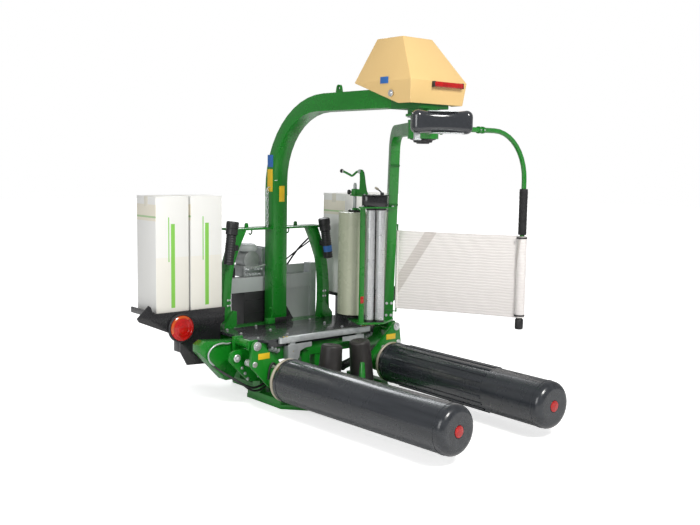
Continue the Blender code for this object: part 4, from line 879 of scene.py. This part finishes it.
web = cut_plate([(0.3, 1.4125), (0.318, 1.44), (0.332, 1.49), (0.342, 1.54), (0.35, 1.572), (0.366, 1.591),
    (0.388, 1.595), (0.404, 1.585), (0.404, 1.57), (0.39, 1.562), (0.388, 1.53), (0.39, 1.47), (0.392, 1.452),
    (0.44, 1.448), (0.44, 1.4125)], "x", 0.338, 0.354, 0.003)
foot = cut_plate([(0.326, 0.478), (0.366, 0.478), (0.372, 0.44), (0.36, 0.25), (0.345, 0.232), (0.318, 0.232),
    (0.306, 0.25), (0.314, 0.44)], "z", 1.4015, 1.4115, 0.0015)
block_seat = grown(roll_at, UPWARD, [(1.408, 0.026), (1.411, 0.027), (1.448, 0.026), (1.452, 0.023)], 28)
arm = bent(smooth_line([(0.346, 0.398, 1.584), (0.345, 0.43, 1.574), (0.34, 0.47, 1.548), (0.33, 0.492, 1.556),
    (0.314, 0.515, 1.57), (0.302, 0.532, 1.578)]), 0.0085)
link = bent(smooth_line([(0.346, 0.432, 1.3), (0.338, 0.4, 1.31), (0.33, 0.372, 1.3)]), 0.006)
pad_hub = grown(roll_at, UPWARD, [(1.3, 0.03), (1.306, 0.02), (1.314, 0.015)], 24)
done(joined(web, foot, block_seat, arm, link, pad_hub), "film_clamp_bracket", green, "satellite", 35,
    ("film_clamp",))
stem = grown(roll_at, UPWARD, [(1.296, 0.01), (1.3, 0.0125), (1.4, 0.0125), (1.484, 0.0125), (1.488, 0.009),
    (1.496, 0.009)], 20)
pivot_pin = grown((0.332, 0.392, 1.58), (1, 0, 0), [(0, 0.012), (0.003, 0.015), (0.025, 0.015), (0.028, 0.012)],
    20)
done(joined(stem, pivot_pin), "film_clamp_spindle", pale_grey, "satellite")
disc = grown(roll_at, UPWARD, [(1.2855, 0.04), (1.2865, 0.047), (1.296, 0.048), (1.3, 0.044), (1.3, 0.028)], 36)
ball = grown((0.296, 0.54, 1.581), (-0.58, 0.8, 0.12), [(-0.012, 0.006), (-0.008, 0.0125), (0.0, 0.0155),
    (0.008, 0.0125), (0.012, 0.006)], 20)
knob_piece = grown((0.335, 0.47, 1.428), (-0.6, 0.8, 0), [(-0.004, 0.006), (0.006, 0.006), (0.008, 0.014),
    (0.014, 0.018), (0.024, 0.018), (0.03, 0.013)], 20)
done(joined(disc, ball, knob_piece), "film_clamp_knobs", black, "satellite")
collar = grown((0.303, 0.53, 1.5785), (-0.58, 0.8, 0.12), [(-0.003, 0.009), (-0.002, 0.0125), (0.003, 0.0125),
    (0.004, 0.009)], 20)
done(collar, "film_clamp_white_ring", white, "satellite")
core = grown(roll_at, UPWARD, [(0.4995, 0.046), (0.503, 0.048), (0.512, 0.048), (0.516, 0.036), (0.534, 0.035)],
    28)
done(core, "film_roll_seat", black, "satellite")
mark = block((0.243, 0.2465, 0.64), (0.273, 0.2478, 0.69), 0.0004)
done(mark, "stretcher_red_mark", red, "satellite")
bolts("stretcher_foot_bolts", zinc, "satellite", [((0.332, 0.251, 0.4875), (0, 0, -1)), ((0.389, 0.204, 0.4875),
    (0, 0, -1)), ((0.258, 0.254, 0.4875), (0, 0, -1)), ((0.346, 0.445, 0.4875), (0, 0, -1)),
    ((0.45, 0.15, 1.3325), (0, 0, 1)), ((0.258, 0.254, 1.3325), (0, 0, 1))], 0.011)

# ---------------------------------------------------------------- hoses, chain and fittings on the rear beam
def hose(name, points, diameter, material, body):
    """A hose whose two ends go into the machine, cut to the length of its own route."""
    line = smooth_line(points)
    piece = drawn(name, line, diameter / 2)
    piece.data.materials.append(material)
    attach(piece, body)
    return piece


hose("hull_hose_grey", [(-0.655, 0.552, 0.415), (-0.69, 0.532, 0.414), (-0.75, 0.52, 0.424),
    (-0.81, 0.518, 0.412), (-0.85, 0.518, 0.372), (-0.846, 0.52, 0.322), (-0.812, 0.528, 0.286),
    (-0.785, 0.55, 0.268)], 0.012, zinc, "base")
hose("hull_hose_black", [(-0.806, 0.556, 0.28), (-0.792, 0.522, 0.262), (-0.75, 0.47, 0.222),
    (-0.69, 0.415, 0.176), (-0.62, 0.402, 0.134), (-0.56, 0.4, 0.118), (-0.49, 0.4, 0.136), (-0.43, 0.4, 0.18),
    (-0.392, 0.4, 0.24), (-0.386, 0.405, 0.29)], 0.016, rubber, "base")
hose("hull_hose_second", [(-0.73, 0.552, 0.222), (-0.712, 0.515, 0.206), (-0.66, 0.425, 0.16),
    (-0.6, 0.408, 0.11), (-0.54, 0.408, 0.092), (-0.47, 0.408, 0.11), (-0.412, 0.408, 0.158),
    (-0.372, 0.408, 0.225), (-0.364, 0.41, 0.292)], 0.014, rubber, "base")
hose("valve_hose_loop", [(0.075, 1.06, 0.64), (0.12, 1.075, 0.72), (0.2, 1.085, 0.83), (0.32, 1.09, 0.96),
    (0.43, 1.07, 1.06), (0.44, 1.02, 1.11), (0.435, 0.985, 1.12)], 0.014, rubber, "base")
hose("valve_hose_inner", [(0.04, 1.075, 0.65), (0.09, 1.095, 0.74), (0.18, 1.11, 0.85), (0.3, 1.115, 0.93),
    (0.42, 1.09, 1.01), (0.436, 1.03, 1.06), (0.43, 0.975, 1.075)], 0.011, rubber, "base")
for sign, side in SIDES:
    pin_at = Vector((sign * 0.7, 0.4085, 0.336))
    pin = grown(pin_at, REARWARD, [(0, 0.026), (0.004, 0.027), (0.006, 0.025), (0.008, 0.02), (0.011, 0.02),
        (0.012, 0.011), (0.02, 0.01), (0.022, 0.006)], 32)
    done(pin, side + "_end_pin", bright, "base")
    bolts(side + "_end_plate_bolts", bright, "base", [((sign * x, 0.4205, z), (0, -1, 0))
        for x, z in ((0.652, 0.262), (0.628, 0.222), (0.606, 0.182), (0.585, 0.33), (0.52, 0.19))], 0.012)
    label = block((min(sign * 0.53, sign * 0.622), 0.2742, 0.338), (max(sign * 0.53, sign * 0.622), 0.2749,
        0.378), 0.0003)
    done(label, side + "_arm_label", yellow, side + "_arm")
    strap = bent(smooth_line([(sign * 0.548, 0.262, 0.2), (sign * 0.545, 0.258, 0.25), (sign * 0.535, 0.256,
        0.29), (sign * 0.515, 0.256, 0.306), (sign * 0.495, 0.256, 0.292)]), 0.008)
    done(strap, side + "_arm_strap", rubber, side + "_arm")
    boss = grown((sign * 0.5, 0.275, 0.285), REARWARD, [(0, 0.02), (0.006, 0.02), (0.008, 0.015), (0.02, 0.014),
        (0.022, 0.01)], 24)
    done(boss, side + "_arm_boss", bright, side + "_arm")
    elbows = []
    for i, (x, z) in enumerate(((0.452, 0.372), (0.424, 0.362), (0.396, 0.352))):
        spot = Vector((sign * x, 0.3845, z))
        elbows.append(grown(spot, REARWARD, [(0, 0.015), (0.01, 0.015), (0.01, 0.012), (0.02, 0.012)], 6))
        elbows.append(bent(smooth_line([spot + Vector((0, -0.018, 0)), spot + Vector((0, -0.026, 0.002)), spot
            + Vector((0, -0.029, 0.01)), spot + Vector((0, -0.03, 0.02))]), 0.008))
    done(joined(*elbows), side + "_hose_elbows", zinc, "base")
    # bracket plate and bolts at the foot of the brace
    foot = cut_plate(sided(sign, [(0.5, 0.432), (0.432, 0.432), (0.395, 0.462), (0.395, 0.56), (0.42, 0.566),
        (0.5, 0.47)]), "y", 0.87, 0.9045, 0.003)
    done(foot, side + "_brace_bracket", green, "base")
    bolts(side + "_brace_bolts", bright, "base", [((sign * x, 0.905, z), (0, -1, 0)) for x, z in ((0.452, 0.64),
        (0.43, 0.64), (0.452, 0.6), (0.43, 0.6))], 0.008)


def chain(top, links, pitch, across, half, wire_radius, points):
    """Long links hanging one in the other, each turned a quarter from the last."""
    turns = [2 * pi * i / points for i in range(points + 1)]
    link = bent([(across * cos(a), 0, across * sin(a) + (half if sin(a) > 0 else -half)) for a in turns],
        wire_radius)
    x, y, z = top
    return repeated(link, [Matrix.Translation((x, y, z - pitch * i)) @ Matrix.Rotation(pi / 2 * (i % 2), 4, "Z")
        for i in range(links)])


done(chain((-0.352, 0.392, 0.15), 4, 0.034, 0.0115, 0.01, 0.0042, 20), "beam_chain", zinc, "base")
column_links = chain((-0.092, 0.93, 1.42), 10, 0.029, 0.0085, 0.009, 0.003, 16)
hook = bent(smooth_line([(-0.058, 0.93, 1.45), (-0.078, 0.93, 1.452), (-0.092, 0.93, 1.446),
    (-0.092, 0.93, 1.432)]), 0.004)
done(joined(column_links, hook), "column_chain", zinc, "base")
bolts("deck_bolts", bright, "base", [((x, y, 0.4405), (0, 0, 1)) for x in (-0.5, -0.25, 0.25, 0.5)
    for y in (0.455, 0.66, 0.84)], 0.011)
bolts("bar_bolts", yellow_zinc, "base", [((x, 0.333, 0.4525), (0, 0, 1)) for x in (-0.372, -0.345, 0.345,
    0.372)] + [((x, 0.3215, 0.35), (0, -1, 0)) for x in (-0.302, 0.302)], 0.008)
bar_ends = [grown((x, 0.333, 0.412), UPWARD, [(0, 0.015), (0.002, 0.017), (0.038, 0.017), (0.04, 0.015)], 24)
    for x in (-0.395, 0.395)]
done(joined(*bar_ends), "bar_round_ends", zinc, "base")
for sign, side in SIDES:
    plate = cut_plate(sided(sign, [(0.345, 0.398), (0.345, 0.3), (0.33, 0.288), (0.262, 0.288), (0.25, 0.3),
        (0.24, 0.345), (0.2, 0.362), (0.14, 0.366), (0.14, 0.398)]), "y", 0.315, 0.3215, 0.002)
    done(plate, side + "_stop_plate", zinc, "base")

# ---------------------------------------------------------------- column foot, labels and controls
flap = [block((-0.075, 0.866, 0.456), (0.1, 0.872, 0.48), 0.001)]
flap += [block((-0.074 + 0.019 * i, 0.858 + 0.002 * (i % 3), 0.4415), (-0.061 + 0.019 * i, 0.8665, 0.468),
    0.0015) for i in range(9)]
done(joined(*flap), "column_foot_brush", rubber, "base")
step_block = joined(block((-0.128, 0.85, 0.441), (-0.07, 0.905, 0.482), 0.004),
    bent(smooth_line([(-0.085, 0.875, 0.47), (-0.086, 0.868, 0.52), (-0.098, 0.862, 0.555),
    (-0.112, 0.862, 0.56)]), 0.007))
done(step_block, "column_foot_catch", green, "base")
gusset = cut_plate([(0.064, 0.442), (0.165, 0.442), (0.064, 0.6)], "y", 0.935, 0.947, 0.0015)
done(gusset, "column_gusset", black_paint, "base")
for name, look, label_low, label_high in (("column_blue_label", blue, (-0.064, 0.9, 1.6),
        (-0.0618, 0.968, 1.69)), ("column_pale_label", white, (-0.056, 0.8888, 1.5), (-0.03, 0.8902, 1.56))):
    done(block(label_low, label_high, 0.0004), name, look, "base")
warn = joined(block((-0.012, 0.8888, 1.345), (0.036, 0.8902, 1.462), 0.0004), block((-0.064, 0.905, 1.42),
    (-0.0618, 0.968, 1.585), 0.0004))
done(warn, "column_yellow_labels", yellow, "base")
done(block((-0.2412, -0.52, 2.12), (-0.2396, -0.45, 2.16), 0.0004), "hood_blue_label", blue, "base")

dome = grown((-0.145, 1.115, 0.968), UPWARD, [(0, 0.07), (0.006, 0.074), (0.03, 0.074), (0.04, 0.07),
    (0.05, 0.058), (0.056, 0.04), (0.058, 0.012)], 40)
done(dome, "valve_dome", pale_grey, "base", 45)
spools = []
for i in range(5):
    x = -0.205 + 0.03 * i
    spools.append(grown((x, 1.045, 0.835), REARWARD, [(0, 0.013), (0.018, 0.013), (0.02, 0.009), (0.04, 0.009),
        (0.042, 0.006)], 18))
    spools.append(grown((x, 1.045, 0.795), REARWARD, [(0, 0.01), (0.012, 0.01), (0.014, 0.007), (0.022, 0.007)],
        6))
done(joined(*spools), "valve_spools", zinc, "base")
handle = joined(bent([(-0.1, 0.99, 0.862), (-0.215, 0.975, 0.848)], 0.006),
    bent([(-0.1, 0.99, 0.862), (-0.066, 0.99, 0.868)], 0.006))
done(handle, "valve_lever", bright, "base")
panel_seams = [block((-0.215, 1.028, z), (0.14, 1.0306, z + 0.004), 0.001) for z in (0.4, 0.5, 0.6)]
done(joined(*panel_seams), "housing_ribs", black_paint, "base")
lugs = [cut_plate([(x - 0.016, 1.156), (x + 0.016, 1.156), (x + 0.016, 1.18), (x + 0.008, 1.19),
    (x - 0.008, 1.19), (x - 0.016, 1.18)], "y", 0.965, 0.973, 0.001) for x in (-0.25, 0.2)]
hooks = [bent(smooth_line([(x, 0.975, 1.141), (x, 0.972, 1.12), (x - 0.012, 0.972, 1.104),
    (x - 0.026, 0.972, 1.112)]), 0.005) for x in (-0.2, 0.14)]
done(joined(*lugs, *hooks), "crossbar_lugs", green, "base")

# a thin dark rod in the narrow gap between the two stretch rollers: painted shade, standing for the shadow in
# that gap
low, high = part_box("stretch_roller_slow")
gap_shade_rod_end = high.z - low.z + 0.0016
gap_shade_rod = grown((0.3745, 0.2445, low.z - 0.0008), UPWARD, [(0, 0.008), (0.012, 0.008), (0.013, 0.005),
    (gap_shade_rod_end - 0.013, 0.005), (gap_shade_rod_end - 0.012, 0.008), (gap_shade_rod_end, 0.008)], 20)
done(gap_shade_rod, "stretch_gap_shade_rod", black_paint, "satellite")

# ---------------------------------------------------------------- hitch side
pins = []
low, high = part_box("hitch_frame")
for sign, _ in SIDES:
    head = grown((sign * (high.x - 0.002), 1.285, 0.265), (-sign, 0, 0), [(0, 0.02), (0.002, 0.023),
        (0.008, 0.023), (0.009, 0.018)], 24)
    pins.append(head)
    ring = [(sign * 0.392, 1.285 + 0.017 * cos(a), 0.25 + 0.017 * sin(a)) for a in [2 * pi * i / 24
        for i in range(25)]]
    pins.append(bent(ring, 0.0022))
for across in (-0.055, 0.055):
    pins.append(grown((across, 1.24, 0.93), (1 if across > 0 else -1, 0, 0), [(-0.004, 0.018), (0.002, 0.02),
        (0.006, 0.018)], 20))
done(joined(*pins), "hitch_pins", bright, "base")
bolts("hitch_bolts", zinc, "base", [((sign * 0.425, 1.1105, z), (0, 1, 0)) for sign in (-1, 1)
    for z in (0.4, 0.48, 0.69, 0.75)] + [((x, 1.1085, 0.72), (0, 1, 0)) for x in (-0.34, -0.28, 0.28, 0.34)]
    + [((x, 1.1065, 0.235), (0, 1, 0)) for x in (-0.3, -0.1, 0.1, 0.3)], 0.012)
cover = [cut_plate([(-0.205, 0.345), (0.13, 0.345), (0.13, 0.645), (-0.205, 0.645)], "y", 1.2145, 1.2175,
    0.001)]
cover += [block((-0.185 + 0.03 * i, 1.217, 0.38), (-0.172 + 0.03 * i, 1.2195, 0.47), 0.001) for i in range(10)]
cover += [grown((x, 1.2172, z), FORWARD, [(0, 0.007), (0.0025, 0.007), (0.004, 0.004)], 6)
    for x in (-0.19, 0.115) for z in (0.36, 0.495, 0.63)]
done(joined(*cover), "housing_cover", black_paint, "base")
rail = cut_plate([(0.18, 0.776), (0.37, 0.776), (0.37, 0.846), (0.18, 0.846)], "y", 1.075, 1.081, 0.002)
done(rail, "coupler_plate", pale_grey, "base")
sockets, caps = [], []
for i in range(4):
    spot = Vector((0.205 + 0.047 * i, 1.081, 0.822))
    sockets.append(grown(spot, FORWARD, [(0, 0.017), (0.014, 0.017), (0.016, 0.013), (0.03, 0.013)], 6))
    caps.append(grown(spot + Vector((0, 0.0295, 0)), FORWARD, [(0, 0.0165), (0.003, 0.0185), (0.018, 0.018),
        (0.021, 0.012)], 24))
done(joined(*sockets), "coupler_bodies", zinc, "base")
done(joined(*caps[:2]), "coupler_caps_red", red, "base")
done(joined(*caps[2:]), "coupler_caps_blue", blue, "base")
plug = joined(block((-0.35, 1.082, 0.776), (-0.27, 1.112, 0.85), 0.006, 3), grown((-0.31, 1.11, 0.815), FORWARD,
    [(0, 0.026), (0.004, 0.028), (0.02, 0.028), (0.024, 0.02)], 28), block((-0.33, 1.12, 0.838),
    (-0.29, 1.136, 0.85), 0.003))
done(plug, "lamp_socket", black, "base")
tags = [cut_plate([(sign * 0.44, 0.5), (sign * 0.405, 0.5), (sign * 0.405, 0.56), (sign * 0.44, 0.56)][::sign],
    "y", 1.1098, 1.1106, 0.0003) for sign in (-1, 1)]
done(joined(*tags), "hitch_blank_labels", yellow, "base")
plate = [cut_plate([(-0.055, 0.7), (0.055, 0.7), (0.055, 0.755), (-0.055, 0.755)], "y", 1.1078, 1.1092, 0.0006)]
plate += [grown((x, 1.1088, z), FORWARD, [(0, 0.0035), (0.0012, 0.003)], 12) for x in (-0.047, 0.047)
    for z in (0.708, 0.747)]
done(joined(*plate), "blank_type_plate", bright, "base")

# ---------------------------------------------------------------- floor
calm()
bpy.ops.mesh.primitive_plane_add(size=60, location=(0, 0, -0.002))
floor = bpy.context.object
floor.name = "studio_floor"
pale = bpy.data.materials.new("studio_floor")
pale.use_nodes = True
shader = pale.node_tree.nodes["Principled BSDF"]
for label, value in (("Base Color", (0.93, 0.93, 0.93, 1)), ("Roughness", 0.9),
        ("Emission Color", (1, 1, 1, 1))):
    shader.inputs[label].default_value = value
glow, share, spot, away, reach = (add(pale.node_tree, "LightPath"), add(pale.node_tree, "Math",
    operation="MULTIPLY"), add(pale.node_tree, "TexCoord"), add(pale.node_tree, "VectorMath",
    operation="LENGTH"), add(pale.node_tree, "MapRange", From_Min=2.5, From_Max=9.0, To_Min=0.62, To_Max=1.0))
wire(pale.node_tree, (spot.outputs["Object"], away.inputs[0]), (away.outputs["Value"], reach.inputs["Value"]),
    (reach.outputs["Result"], share.inputs[1]), (glow.outputs["Is Camera Ray"], share.inputs[0]),
    (share.outputs[0], shader.inputs["Emission Strength"]))
floor.data.materials.append(pale)
